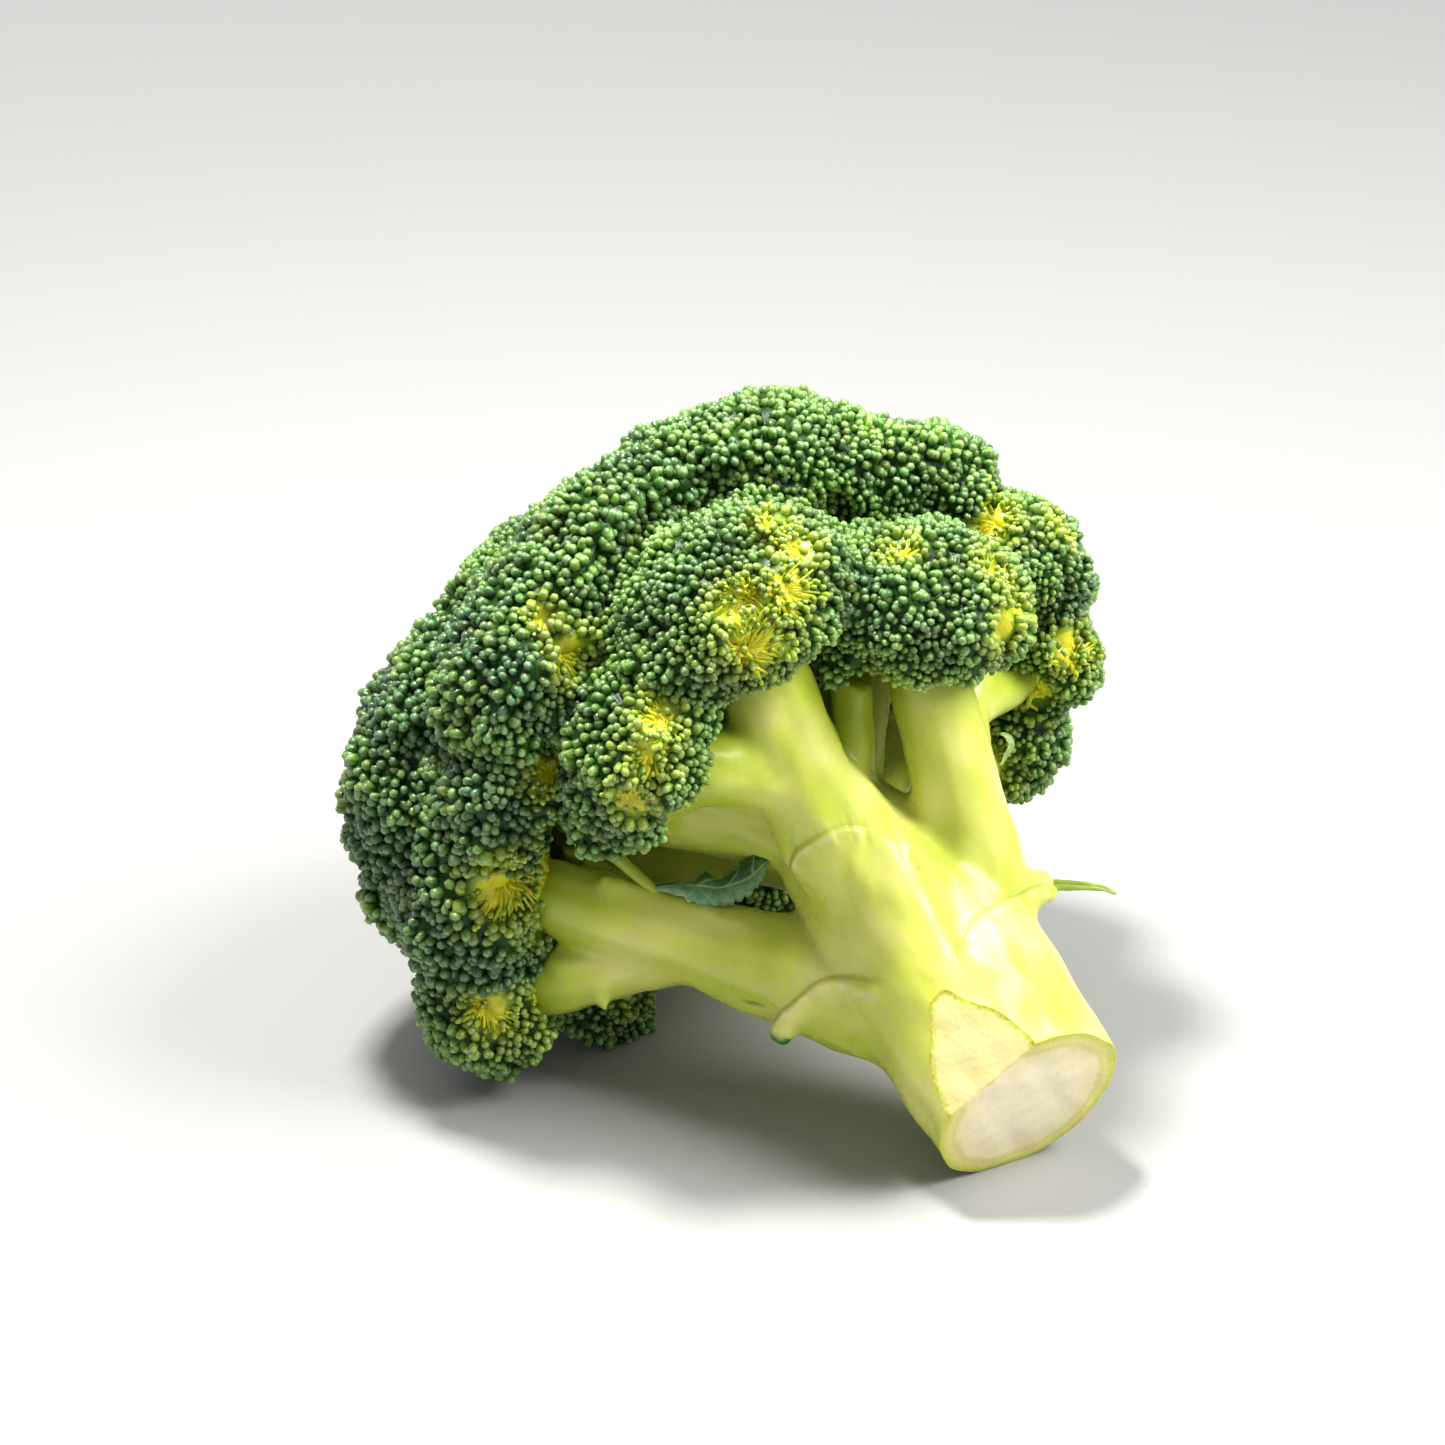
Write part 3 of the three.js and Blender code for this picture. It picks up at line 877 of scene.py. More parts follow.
# ---- stalk and branches -------------------------------------------------------------------
LIMB_VOXEL = 1.02 * MM
LIMB_SMOOTHING = 12
PAST_CUT = 9 * MM  # how far the stalk is carried on before it is cut
STALK_ONWARD = Vector((0.04, -0.84, -0.54))  # the stalk's own line, towards its cut end
SIDE_CUT_LIFT = 0.6 * MM  # outwards, because the fluted skin stands proud of the plain stalk
INTO_HEAD = 5 * MM  # how far a branch runs on into its head
RINGS_OF_CUT = 16
END_CUT_REACH = 34 * MM  # from the middle of a cut, past which it leaves the skin alone
SIDE_CUT_REACH = 26 * MM
FLESH_SPAN = 20  # millimetres in from a cut's rim, which the painted share 1 stands for

# The upper edges of old leaf bases, in shares of the stalk's box. The stalk side of each stands up.
SCARS = {  # each named for the head whose limb it is at the foot of
    "front": [
        (-0.09, 0.51, 0.70),
        (-0.10, 0.49, 0.75),
        (-0.08, 0.47, 0.806),
        (-0.02, 0.432, 0.859),
        (0.08, 0.412, 0.876),
        (0.182, 0.397, 0.855),
    ],
    "lower_left": [
        (0.06, 0.252, 0.507),
        (0.026, 0.31, 0.505),
        (-0.007, 0.377, 0.49),
        (-0.075, 0.412, 0.461),
        (-0.128, 0.428, 0.417),
        (-0.151, 0.454, 0.363),
        (-0.17, 0.462, 0.30),
    ],
    "front_right": [
        (0.274, 0.125, 0.534),
        (0.30, 0.158, 0.579),
        (0.329, 0.182, 0.615),
        (0.398, 0.208, 0.658),
        (0.52, 0.218, 0.674),
        (0.727, 0.252, 0.662),
        (0.974, 0.305, 0.627),
    ],
}
SCAR_HEIGHT = {"front": 0.75 * MM, "lower_left": 1.2 * MM, "front_right": 1.4 * MM}
NEAR_SCAR = 3.2 * MM  # within which the mesh is made finer

# Trimmed leaf stems, a peg, and the ribs that leaf stems left along a limb: places in shares of
# the stalk's box, and the radius in millimetres at each end.
STUBS = [
    ([(0.78, 0.285, 0.63), (0.93, 0.295, 0.635), (1.03, 0.288, 0.645)], (4.4, 2.8)),
    ([(-0.07, 0.437, 0.41), (-0.15, 0.452, 0.335), (-0.19, 0.46, 0.285)], (3.6, 1.9)),
    (
        [(-0.63, 0.80, 0.62), (-0.50, 0.765, 0.598), (-0.40, 0.73, 0.575)]
        + [(-0.27, 0.66, 0.555), (-0.13, 0.56, 0.53)],
        (1.5, 1.0),
    ),
    ([(-0.685, 0.775, 0.33), (-0.665, 0.765, 0.265)], (1.6, 1.2)),
]
CREASES = [  # where two limbs meet
    [(0.33, 0.40, 0.80), (0.343, 0.37, 0.795), (0.316, 0.275, 0.715)]
    + [(0.313, 0.21, 0.642), (0.29, 0.15, 0.56)],
    [(0.187, 0.663, 0.542), (0.10, 0.585, 0.552), (0.03, 0.523, 0.547)]
    + [(0.002, 0.467, 0.537), (-0.001, 0.429, 0.517)],
]
SLIT = ((-0.262, 0.55, 0.361), (-0.20, 0.495, 0.362))  # a small nick in the left limb's skin
GREEN_TIP = (-0.19, 0.46, 0.28)


def cut_planes():
    """The stalk's two knife cuts, as places and facings: the two widest flat faces at its cut end."""
    part = node_mesh("stalk")
    groups = {}
    for face in part.faces:
        key = tuple(round(c, 2) for c in face.normal)
        groups.setdefault(key, []).append(face)
    at_end = [faces for faces in groups.values() if faces[0].normal.dot(STALK_ONWARD) > 0.15]
    wide = sorted(at_end, key=lambda faces: -sum(f.calc_area() for f in faces))[:2]
    planes = []
    for faces in wide:
        area = sum(f.calc_area() for f in faces)
        middle = sum((f.calc_center_median() * f.calc_area() for f in faces), Vector()) / area
        planes.append((middle, faces[0].normal.copy()))
    part.free()
    return sorted(planes, key=lambda plane: plane[1].z)  # the end cut looks down, the side cut up


def carried_on(planes):
    """The stalk, drawn on along its own line past both of its cuts."""
    part = node_mesh("stalk")
    part.normal_update()
    faces = []
    for face in part.faces:
        for at, facing in planes:
            off = abs((face.calc_center_median() - at).dot(facing))
            if face.normal.dot(facing) > 0.999 and off < 0.1 * MM:
                faces.append(face)
                break
    drawn = bmesh.ops.extrude_face_region(part, geom=faces)["geom"]
    verts = [item for item in drawn if isinstance(item, bmesh.types.BMVert)]
    bmesh.ops.translate(part, verts=verts, vec=STALK_ONWARD.normalized() * PAST_CUT)
    bmesh.ops.delete(part, geom=[face for face in faces if face.is_valid], context="FACES_ONLY")
    return part


def axis_of(node):
    """The middle line of a limb and its radius along it, from its surface."""
    mesh = as_mesh("axis", node_mesh(node))
    places, _, _ = scatter(points_of(mesh), normals_of(mesh), triangles_of(mesh), 2500)
    bpy.data.meshes.remove(mesh)
    centred = places - places.mean(0)
    along = centred @ np.linalg.svd(centred, full_matrices=False)[2][0]
    last, first = places[along.argmax()] - fork, places[along.argmin()] - fork
    if last @ last < first @ first:
        along = -along
    bins = np.clip(((along - along.min()) / np.ptp(along) * 8).astype(int), 0, 7)
    line = np.array([places[bins == k].mean(0) for k in range(8)])
    radii = np.array([np.linalg.norm(places[bins == k] - line[k], axis=1).mean() for k in range(8)])
    return line, radii


def reaching_branch(node):
    """A branch whose upper end is drawn on into its head."""
    part = node_mesh(node)
    name = node[len("branch_") :]
    tree = head_trees[name]
    low, high = (np.array(corner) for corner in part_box("head_" + name))
    middle = Vector((low + high) / 2)
    for vertex in part.verts:
        gap = tree.find_nearest(vertex.co)[3]
        share = max(0.0, 1 - gap / (3 * MM))
        vertex.co += (middle - vertex.co).normalized() * INTO_HEAD * share
    return part


def stub(shares, ends):
    """A tapered round stub through these places."""
    part = bmesh.new()
    path = within("stalk", shares)
    radii = np.linspace(ends[0], ends[1], len(path)) * MM
    sides = 12
    faces, _ = tube_faces(len(path), sides)
    points = tubes(path[None], radii[None], sides)[0]
    verts = [part.verts.new(p) for p in points]
    for face in faces:
        part.faces.new([verts[i] for i in face])
    bmesh.ops.recalc_face_normals(part, faces=part.faces)
    return part


def slice_off(body, middle, facing, reach):
    """Cuts off what is past a plane within reach of the cut, and closes it with rings of faces."""
    near = [f for f in body.faces if (f.calc_center_median() - middle).length < reach]
    edges = {e for f in near for e in f.edges}
    verts = {v for f in near for v in f.verts}
    geometry = near + list(edges) + list(verts)
    cut = {"plane_co": middle, "plane_no": facing, "clear_outer": True, "dist": 1e-7}
    bmesh.ops.bisect_plane(body, geom=geometry, **cut)
    bmesh.ops.remove_doubles(body, verts=[v for v in body.verts if v.is_boundary], dist=0.02 * MM)
    open_edges = [e for e in body.edges if e.is_boundary]
    after = {}
    for edge in open_edges:
        for vert in edge.verts:
            after.setdefault(vert, []).append(edge.other_vert(vert))
    left = set(after)
    loops = []
    while left:
        start = left.pop()
        loop = [start]
        while True:
            onward = [v for v in after[loop[-1]] if v in left]
            if not onward:
                break
            loop.append(onward[0])
            left.discard(onward[0])
        loops.append(loop)
    loop = max(loops, key=len)
    for _ in range(5):
        onward = loop[1:] + loop[:1]
        evener = [(loop[i - 1].co + 2 * v.co + onward[i].co) / 4 for i, v in enumerate(loop)]
        for vert, place in zip(loop, evener):
            vert.co = place
    centre = sum((v.co for v in loop), Vector()) / len(loop)
    ring = loop
    faces = []
    for k in range(1, RINGS_OF_CUT):
        share = 1 - (k / RINGS_OF_CUT) ** 1.25
        inner = [body.verts.new(centre + (v.co - centre) * share) for v in loop]
        for i in range(len(loop)):
            j = (i + 1) % len(loop)
            faces.append(body.faces.new((ring[i], ring[j], inner[j], inner[i])))
        ring = inner
    hub = body.verts.new(centre)
    for i in range(len(loop)):
        faces.append(body.faces.new((ring[i], ring[(i + 1) % len(loop)], hub)))
    for face in faces:
        face.normal_update()
        face.material_index = 1
        if face.normal.dot(facing) < 0:
            face.normal_flip()
    for item in loops:
        if item is not loop and len(item) > 2:
            body.faces.new(item)


def lengthwise(points, lines):
    """Coordinates that run along each limb: the owner's number, turn round it and place along it."""
    owner = np.zeros(len(points), int)
    best = np.full(len(points), np.inf)
    turn = np.zeros(len(points))
    along = np.zeros(len(points))
    for n, (line, radii) in enumerate(lines):
        gap, place, share = to_line(points, line)
        radius = np.interp(share, np.linspace(0, 1, len(radii)), radii)
        ratio = gap / radius
        closer = ratio < best
        axis = unit(line[-1] - line[0])
        first, second = across_of(axis)
        offset = points - place
        angle = np.arctan2(offset @ second, offset @ first)
        best[closer] = ratio[closer]
        owner[closer] = n
        turn[closer] = angle[closer]
        length = np.linalg.norm(np.diff(line, axis=0), axis=1).sum()
        along[closer] = (share * length)[closer]
    return owner, turn, along


def scar_line(tree, shares):
    """A scar's edge, laid on the skin and closely stepped."""
    line = within("stalk", shares)
    for _ in range(3):
        middles = (line[:-1] + line[1:]) / 2
        line = np.concatenate([np.stack([line[:-1], middles], 1).reshape(-1, 3), line[-1:]])
        line[1:-1] = (line[:-2] + line[1:-1] * 2 + line[2:]) / 4
        line = np.array([tree.find_nearest(Vector(p))[0] for p in line])
    return line


def finer(mesh, lines):
    """Divides the faces that are near any of these lines."""
    near = np.min([to_line(points_of(mesh), line)[0] for line in lines], 0) < NEAR_SCAR
    body = bmesh.new()
    body.from_mesh(mesh)
    body.verts.ensure_lookup_table()
    edges = [e for e in body.edges if near[e.verts[0].index] and near[e.verts[1].index]]
    bmesh.ops.subdivide_edges(body, edges=edges, cuts=2, use_grid_fill=True)
    body.to_mesh(mesh)
    body.free()


def raise_scar(points, line, height, onward):
    """How far to raise each point for a leaf scar: up to its edge from the stalk, and not past it."""
    gap, place, share = to_line(points, line)
    way = unit(np.gradient(line, axis=0))
    steps = np.linspace(0, 1, len(line))
    along = unit(np.stack([np.interp(share, steps, way[:, k]) for k in range(3)], 1))
    across = unit(onward - along * (along @ onward)[:, None])
    past = ((points - place) * across).sum(1)
    ends = ramp(share, 0.0, 0.14) * ramp(share, 1.0, 0.93)
    swell = 0.45 * np.exp(-((gap / (8 * MM)) ** 2)) + 0.55 * np.exp(-gap / (2.2 * MM))
    lip = ramp(past, 0.8 * MM, -0.6 * MM) * swell
    groove = np.exp(-(((past - 0.45 * MM) / (0.4 * MM)) ** 2)) * (gap < 2.5 * MM)
    tissue = np.exp(-(((past + 0.7 * MM) / (0.6 * MM)) ** 2)) * (gap < 2.5 * MM)
    return height * ends * (lip - 0.08 * groove), ends * groove, ends * tissue


def build_limbs():
    planes = cut_planes()
    (end_at, end_facing), (side_at, side_facing) = planes
    parts = [carried_on(planes)] + [reaching_branch(node) for node in BRANCHES]
    parts += [stub(shares, ends) for shares, ends in STUBS]
    limbs = remesh(join("stalk_and_branches", parts), LIMB_VOXEL, LIMB_SMOOTHING)
    mesh = limbs.data
    tree = BVHTree.FromObject(only(limbs), bpy.context.evaluated_depsgraph_get())
    scars = {name: scar_line(tree, shares) for name, shares in SCARS.items()}
    slit = scar_line(tree, SLIT)
    creases = [scar_line(tree, shares) for shares in CREASES]
    finer(mesh, [*scars.values(), slit])
    points, normals, edges = points_of(mesh), normals_of(mesh), read(mesh.edges, "vertices", 2)

    lines = [axis_of(node) for node in ["stalk"] + BRANCHES]
    owner, turn, along = lengthwise(points, lines)
    flute = np.zeros(len(points))
    for waves_round, size, drift in ((5, 0.35, 9.0), (9, 0.3, -14.0), (17, 0.2, 21.0), (31, 0.15, -8.0)):
        flute += size * np.sin(waves_round * turn + drift * along + owner * 1.7 * waves_round)
    flute = evened(flute, edges, 2)
    hollow = ((evened(points, edges, 10) - points) * normals).sum(1)
    rise = 0.22 * MM * flute + 0.25 * MM * waves(points, 12 * MM, 11)
    groove, tissue = np.zeros(len(points)), np.zeros(len(points))
    for name, line in scars.items():
        onward = unit(np.mean(np.array(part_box("head_" + name)), 0) - line.mean(0))
        raised, sunk, dry = raise_scar(points, line, SCAR_HEIGHT[name], onward)
        rise += raised
        groove, tissue = np.maximum(groove, sunk), np.maximum(tissue, dry)
    for line in creases:
        gap, _, share = to_line(points, line)
        rise -= 1.0 * MM * np.exp(-((gap / (1.3 * MM)) ** 2)) * ramp(share, 0, 0.2) * ramp(share, 1, 0.75)
    gap, _, share = to_line(points, slit)
    nick = np.exp(-((gap / (0.45 * MM)) ** 2)) * np.sin(np.pi * share)
    rise -= 0.5 * MM * nick
    points += normals * rise[:, None]
    points[:, 2] = np.maximum(points[:, 2], 0.0)
    place_points(mesh, points)

    heads_middle = np.array([np.mean(np.array(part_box("head_" + name)), 0) for name in HEADS])
    to_head = nearest(points, heads_middle)
    crown = ramp(to_head, 26 * MM, 12 * MM)
    skin = np.zeros((len(points), 4))
    skin[:, 0] = 0.5 + 0.5 * np.clip(flute, -1, 1)
    # Channel 1 is painted shade: greener and darker where the skin faces down, in hollows and scar grooves,
    # and near the heads, where it is partly also the stem's own greener colour.
    shade = 0.55 * ramp(normals[:, 2], 0.25, -0.7)
    skin[:, 1] = np.clip(crown + shade + 0.9 * ramp(hollow, 0.12 * MM, 0.8 * MM) + 0.35 * groove, 0, 1)
    skin[:, 2] = 0.5 + 0.5 * np.clip(waves(points * [1, 0.6, 1], 16 * MM, 12), -1, 1)
    skin[:, 3] = 1
    paint(mesh, "skin", skin)
    marks = np.zeros((len(points), 4))
    marks[:, 0] = np.clip(tissue * ramp(waves(points, 4 * MM, 31), -0.5, 0.4), 0, 1)
    tip_gap = np.linalg.norm(points - within("stalk", GREEN_TIP), axis=1)
    marks[:, 1] = ramp(tip_gap, 4.4 * MM, 2.6 * MM)
    # Painted shade in each scar's groove, and darker along the nick.
    marks[:, 2] = np.maximum(nick, 0.12 * groove)
    marks[:, 3] = 1
    paint(mesh, "marks", marks)

    body = bmesh.new()
    body.from_mesh(mesh)
    slice_off(body, end_at, end_facing, END_CUT_REACH)
    slice_off(body, side_at + side_facing * SIDE_CUT_LIFT, side_facing, SIDE_CUT_REACH)
    body.to_mesh(mesh)
    body.free()
    smooth(mesh)

    points = points_of(mesh)
    cut_use = np.zeros(len(points), bool)
    skin_use = np.zeros(len(points), bool)
    materials = read(mesh.polygons, "material_index", 1)
    for polygon, kind in zip(mesh.polygons, materials):
        if kind:
            cut_use[list(polygon.vertices)] = True
    near = np.linalg.norm(points - np.array(end_at), axis=1) < 50 * MM
    for polygon, kind in zip(mesh.polygons, materials):
        if not kind and near[polygon.vertices[0]]:
            skin_use[list(polygon.vertices)] = True
    rim = nearest(points[cut_use], points[cut_use & skin_use])
    flesh = np.zeros((len(points), 4))
    flesh[cut_use, 0] = rim / (FLESH_SPAN * MM)
    flesh[:, 1] = 0.5 + 0.5 * np.clip(waves(points, 3.4 * MM, 21), -1, 1)
    side = (points - np.array(side_at)) @ np.array(side_facing) - SIDE_CUT_LIFT
    flesh[:, 2] = np.abs(side) < 0.05 * MM
    paint(mesh, "flesh", flesh)
    only_cut = cut_use & ~skin_use
    facing = np.where(flesh[:, 2:3] > 0, np.array(side_facing), np.array(end_facing))
    inner = np.clip(flesh[:, 0] * FLESH_SPAN / 1.2, 0, 1)
    relief = 0.13 * MM * waves(points, 7 * MM, 22)
    points[only_cut] += (facing * (relief * inner)[:, None])[only_cut]
    place_points(mesh, points)
    for edge in mesh.edges:
        a, b = edge.vertices
        if cut_use[a] and cut_use[b] and skin_use[a] and skin_use[b]:
            edge.use_edge_sharp = True
    return limbs


def waxy_skin():
    """Young broccoli stem: pale yellow-green skin, smooth and waxy, with lengthwise fibres under it."""
    material, tree = new_material("waxy_stalk_skin")
    fibre, green, patch, _ = painted(tree, "skin")
    place = put(tree, "TexCoord").outputs["Object"]
    fine = put(tree, "TexNoise", {"Vector": place, "Scale": 1 / (1.6 * MM), "Detail": 4.0, "Roughness": 0.6})
    base = put(tree, "ValToRGB", {0: patch}, stops=[(0.1, "#c6d247"), (0.5, "#d3da59"), (0.95, "#e1e17c")])
    lined = put(tree, "MapRange", {0: fibre, 1: 0.15, 2: 0.95, 3: 0.0, 4: 0.35})
    coat = blend_colours(tree, lined.outputs[0], base.outputs[0], "#e4e290")
    # Painted shade: the skin turns a darker, stronger green where it faces down, in hollows and scar grooves,
    # and near the heads.
    painted_shade = put(tree, "MapRange", {0: green, 1: 0.0, 2: 1.0, 3: 0.0, 4: 0.8})
    coat = blend_colours(tree, painted_shade.outputs[0], coat, "#a3b71c")
    mottle = put(tree, "MapRange", {0: fine.outputs[0], 1: 0.35, 2: 0.7, 3: 0.0, 4: 0.06})
    coat = blend_colours(tree, mottle.outputs[0], coat, "#a9b526")
    tissue, leafy, line, _ = painted(tree, "marks")
    dry = put(tree, "Math", {0: tissue, 1: 0.6}, operation="MULTIPLY")
    coat = blend_colours(tree, dry.outputs[0], coat, "#ebe0a0")
    # Painted shade in the scar grooves, and darker along the nick.
    coat = blend_colours(tree, line, coat, "#7c901a")
    coat = blend_colours(tree, leafy, coat, "#3f7a3a")
    gloss = put(tree, "MapRange", {0: fine.outputs[0], 1: 0.3, 2: 0.7, 3: 0.22, 4: 0.38})
    bumps = put(tree, "Bump", {"Height": fine.outputs[0], "Strength": 0.08, "Distance": 0.4 * MM})
    looks = {
        "Base Color": coat,
        "Roughness": gloss.outputs[0],
        "IOR": 1.45,
        "Normal": bumps.outputs[0],
        "Subsurface Weight": 0.25,
        "Subsurface Radius": (1.0, 0.9, 0.25),
        "Subsurface Scale": 2.5 * MM,
    }
    shader = put(tree, "BsdfPrincipled", looks)
    finish_material(tree, shader)
    return material


def cut_flesh():
    """The cut face: a green-yellow rim of skin, a pale woody ring, and moist cream pith inside it."""
    material, tree = new_material("cut_stalk_flesh")
    rim, mottle, side, _ = painted(tree, "flesh")
    place = put(tree, "TexCoord").outputs["Object"]
    fine = put(tree, "TexNoise", {"Vector": place, "Scale": 1 / (0.8 * MM), "Detail": 4.0, "Roughness": 0.65})
    wander = put(tree, "MapRange", {0: fine.outputs[0], 1: 0.3, 2: 0.7, 3: -0.03, 4: 0.03})
    inward = put(tree, "Math", {0: rim, 1: wander.outputs[0]}, operation="ADD")
    stalk = [(0.0, "#b3bd34"), (0.04, "#cdce58"), (0.1, "#e4dd8a"), (0.15, "#dad27e")]
    stalk += [(0.22, "#f0e6b4"), (0.5, "#f6ebcc")]
    end = put(tree, "ValToRGB", {0: inward.outputs[0]}, stops=stalk)
    shoot = [(0.0, "#a9b52c"), (0.025, "#cfcf58"), (0.06, "#e9df96"), (0.3, "#ecdfa2"), (0.6, "#e6d692")]
    slope = put(tree, "ValToRGB", {0: inward.outputs[0]}, stops=shoot)
    pith = put(tree, "Mix", {0: side, A: end.outputs[0], B: slope.outputs[0]}, data_type="RGBA")
    patchy = put(tree, "MapRange", {0: mottle, 1: 0.55, 2: 1.0, 3: 0.0, 4: 0.2})
    coat = blend_colours(tree, patchy.outputs[0], pith.outputs[MIXED], "#e2d27c")
    grains = put(tree, "TexVoronoi", {"Vector": place, "Scale": 1 / (1.1 * MM)}, feature="SMOOTH_F1")
    wet = put(tree, "MapRange", {0: grains.outputs["Distance"], 1: 0.1, 2: 0.6, 3: 0.05, 4: 0.3})
    dampness = put(tree, "Mix", {0: side, 2: 0.42, 3: wet.outputs[0]})
    grain_relief = {"Height": grains.outputs["Distance"], "Strength": 0.3, "Distance": 0.3 * MM}
    bumps = put(tree, "Bump", grain_relief)
    looks = {
        "Base Color": coat,
        "Roughness": dampness.outputs[0],
        "IOR": 1.4,
        "Normal": bumps.outputs[0],
        "Subsurface Weight": 0.35,
        "Subsurface Radius": (1.0, 0.85, 0.45),
        "Subsurface Scale": 2.5 * MM,
    }
    shader = put(tree, "BsdfPrincipled", looks)
    finish_material(tree, shader)
    return material


limbs = build_limbs()
limbs.data.materials.append(waxy_skin())
limbs.data.materials.append(cut_flesh())
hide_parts("stalk", *BRANCHES)
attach(limbs, "root")

# ---- leaves -------------------------------------------------------------------------------
LEAF_STEPS = 40
LEAF_SIDE = 6  # columns of faces on each side of the midrib

# Each leaf's midrib in shares of its box, its width in millimetres on both sides of the midrib at
# shares of its length, and the way that each side stands off the midrib.
LEAVES = {
    "leaf_left": {
        "midrib": [(-0.03, 0.79, 0.46), (0.27, 0.58, 0.50), (0.505, 0.434, 0.42)]
        + [(0.77, 0.308, 0.545), (0.96, 0.25, 0.85)],
        "near": ([0, 0.08, 0.25, 0.42, 0.6, 0.8, 1], [0.5, 1.4, 3.6, 4.6, 4.0, 2.4, 0.3]),
        "far": ([0, 0.28, 0.36, 0.5, 0.62, 0.78, 0.92, 1], [0.3, 0.7, 3.2, 1.7, 2.4, 4.8, 4.0, 0.4]),
        "near_way": (-0.3, -0.45, -0.85),
        "far_way": (0.35, 0.5, 0.8),
        "ragged": 0.28,
        "pale": 0.0,
    },
    "leaf_right": {
        "midrib": [(0.1, 0.85, 0.45), (0.30, 0.70, 0.575), (0.6, 0.37, 0.56)]
        + [(0.82, 0.16, 0.42), (0.95, 0.02, 0.12)],
        "near": ([0, 0.2, 0.5, 1], [1.6, 1.3, 0.9, 0.2]),
        "far": ([0, 0.2, 0.5, 1], [0.8, 1.0, 0.7, 0.2]),
        "near_way": (-0.2, -0.3, -0.9),
        "far_way": (0.3, 0.5, 0.6),
        "ragged": 0.12,
        "pale": 0.7,
    },
    "leaf_curl": {
        "midrib": [(0.35, 0.25, -0.05), (0.65, 0.2, 0.25), (0.95, 0.2, 0.55)]
        + [(0.85, 0.5, 0.78), (0.6, 0.8, 0.85)],
        "near": ([0, 0.4, 0.8, 1], [0.6, 1.6, 1.4, 0.3]),
        "far": ([0, 0.4, 0.8, 1], [0.6, 1.5, 1.2, 0.3]),
        "near_way": (-0.9, -0.2, 0.2),
        "far_way": (0.5, 0.8, 0.1),
        "ragged": 0.2,
        "pale": 0.35,
    },
}
# The leaf stem that comes down from under a head to the left leaf, in shares of the leaf's box.
LEAF_STEM = [(-0.42, 1.28, 1.12), (-0.24, 1.08, 0.86), (-0.10, 0.89, 0.56)]
LEAF_STEM += [(-0.03, 0.80, 0.42), (0.02, 0.80, 0.3)]


def leaf(node, midrib, near, far, near_way, far_way, ragged, pale):
    """A thin folded blade round a midrib, with uneven edges."""
    line = within(node, midrib)
    steps = np.linspace(0, 1, LEAF_STEPS)
    spine = np.stack([np.interp(steps, np.linspace(0, 1, len(line)), line[:, k]) for k in range(3)], 1)
    for _ in range(6):
        spine[1:-1] = (spine[:-2] + 2 * spine[1:-1] + spine[2:]) / 4
    teeth = np.random.default_rng(5).uniform(1 - ragged, 1, LEAF_STEPS)
    rows, values = [], []
    for way, (places, widths), side in ((near_way, near, -1), (far_way, far, 1)):
        width = np.interp(steps, places, widths) * MM * teeth
        out = unit(np.array(way, float))
        along = unit(np.gradient(spine, axis=0))
        across = unit(out - along * (along @ out)[:, None])
        lift = np.cross(along, across) * side
        for k in range(1 if side > 0 else 0, LEAF_SIDE + 1):
            share = k / LEAF_SIDE
            cup = 0.22 * share * (1 - share) * 4
            ripple = 0.12 * MM * np.sin(steps * 22 + 3 * side) * share
            rows.append(spine + across * (width * share)[:, None] + lift * (width * cup + ripple)[:, None])
            values.append((share * side, side))
    order = sorted(range(len(rows)), key=lambda k: values[k][0])
    grid = np.stack([rows[k] for k in order])
    shares = np.array([values[k][0] for k in order])
    body = bmesh.new()
    verts = [[body.verts.new(p) for p in row] for row in grid]
    for i in range(len(verts) - 1):
        for j in range(LEAF_STEPS - 1):
            body.faces.new((verts[i][j], verts[i][j + 1], verts[i + 1][j + 1], verts[i + 1][j]))
    mesh = as_mesh(node + "_blade", body)
    values = np.zeros((len(mesh.vertices), 4))
    values[:, 0] = np.repeat(np.abs(shares), LEAF_STEPS)
    values[:, 1] = np.repeat(shares < 0, LEAF_STEPS)
    values[:, 2] = np.tile(steps, len(grid))
    values[:, 3] = pale
    paint(mesh, "blade", values)
    blade = link(node + "_blade", mesh)
    only(blade)
    skin = blade.modifiers.new("thick", "SOLIDIFY")
    skin.thickness = 0.32 * MM
    skin.offset = 0
    bpy.ops.object.modifier_apply(modifier="thick")
    smooth(mesh)
    return blade


def leaf_stem(node, shares, ends):
    line = within(node, shares)
    sides = 10
    faces, _ = tube_faces(len(line), sides)
    points = tubes(line[None], np.linspace(ends[0], ends[1], len(line))[None] * MM, sides)[0]
    mesh = bpy.data.meshes.new(node + "_stem")
    mesh.from_pydata(points.tolist(), [], faces)
    smooth(mesh)
    values = np.zeros((len(points), 4))
    values[:, 3] = 1
    paint(mesh, "blade", values)
    return link(node + "_stem", mesh)


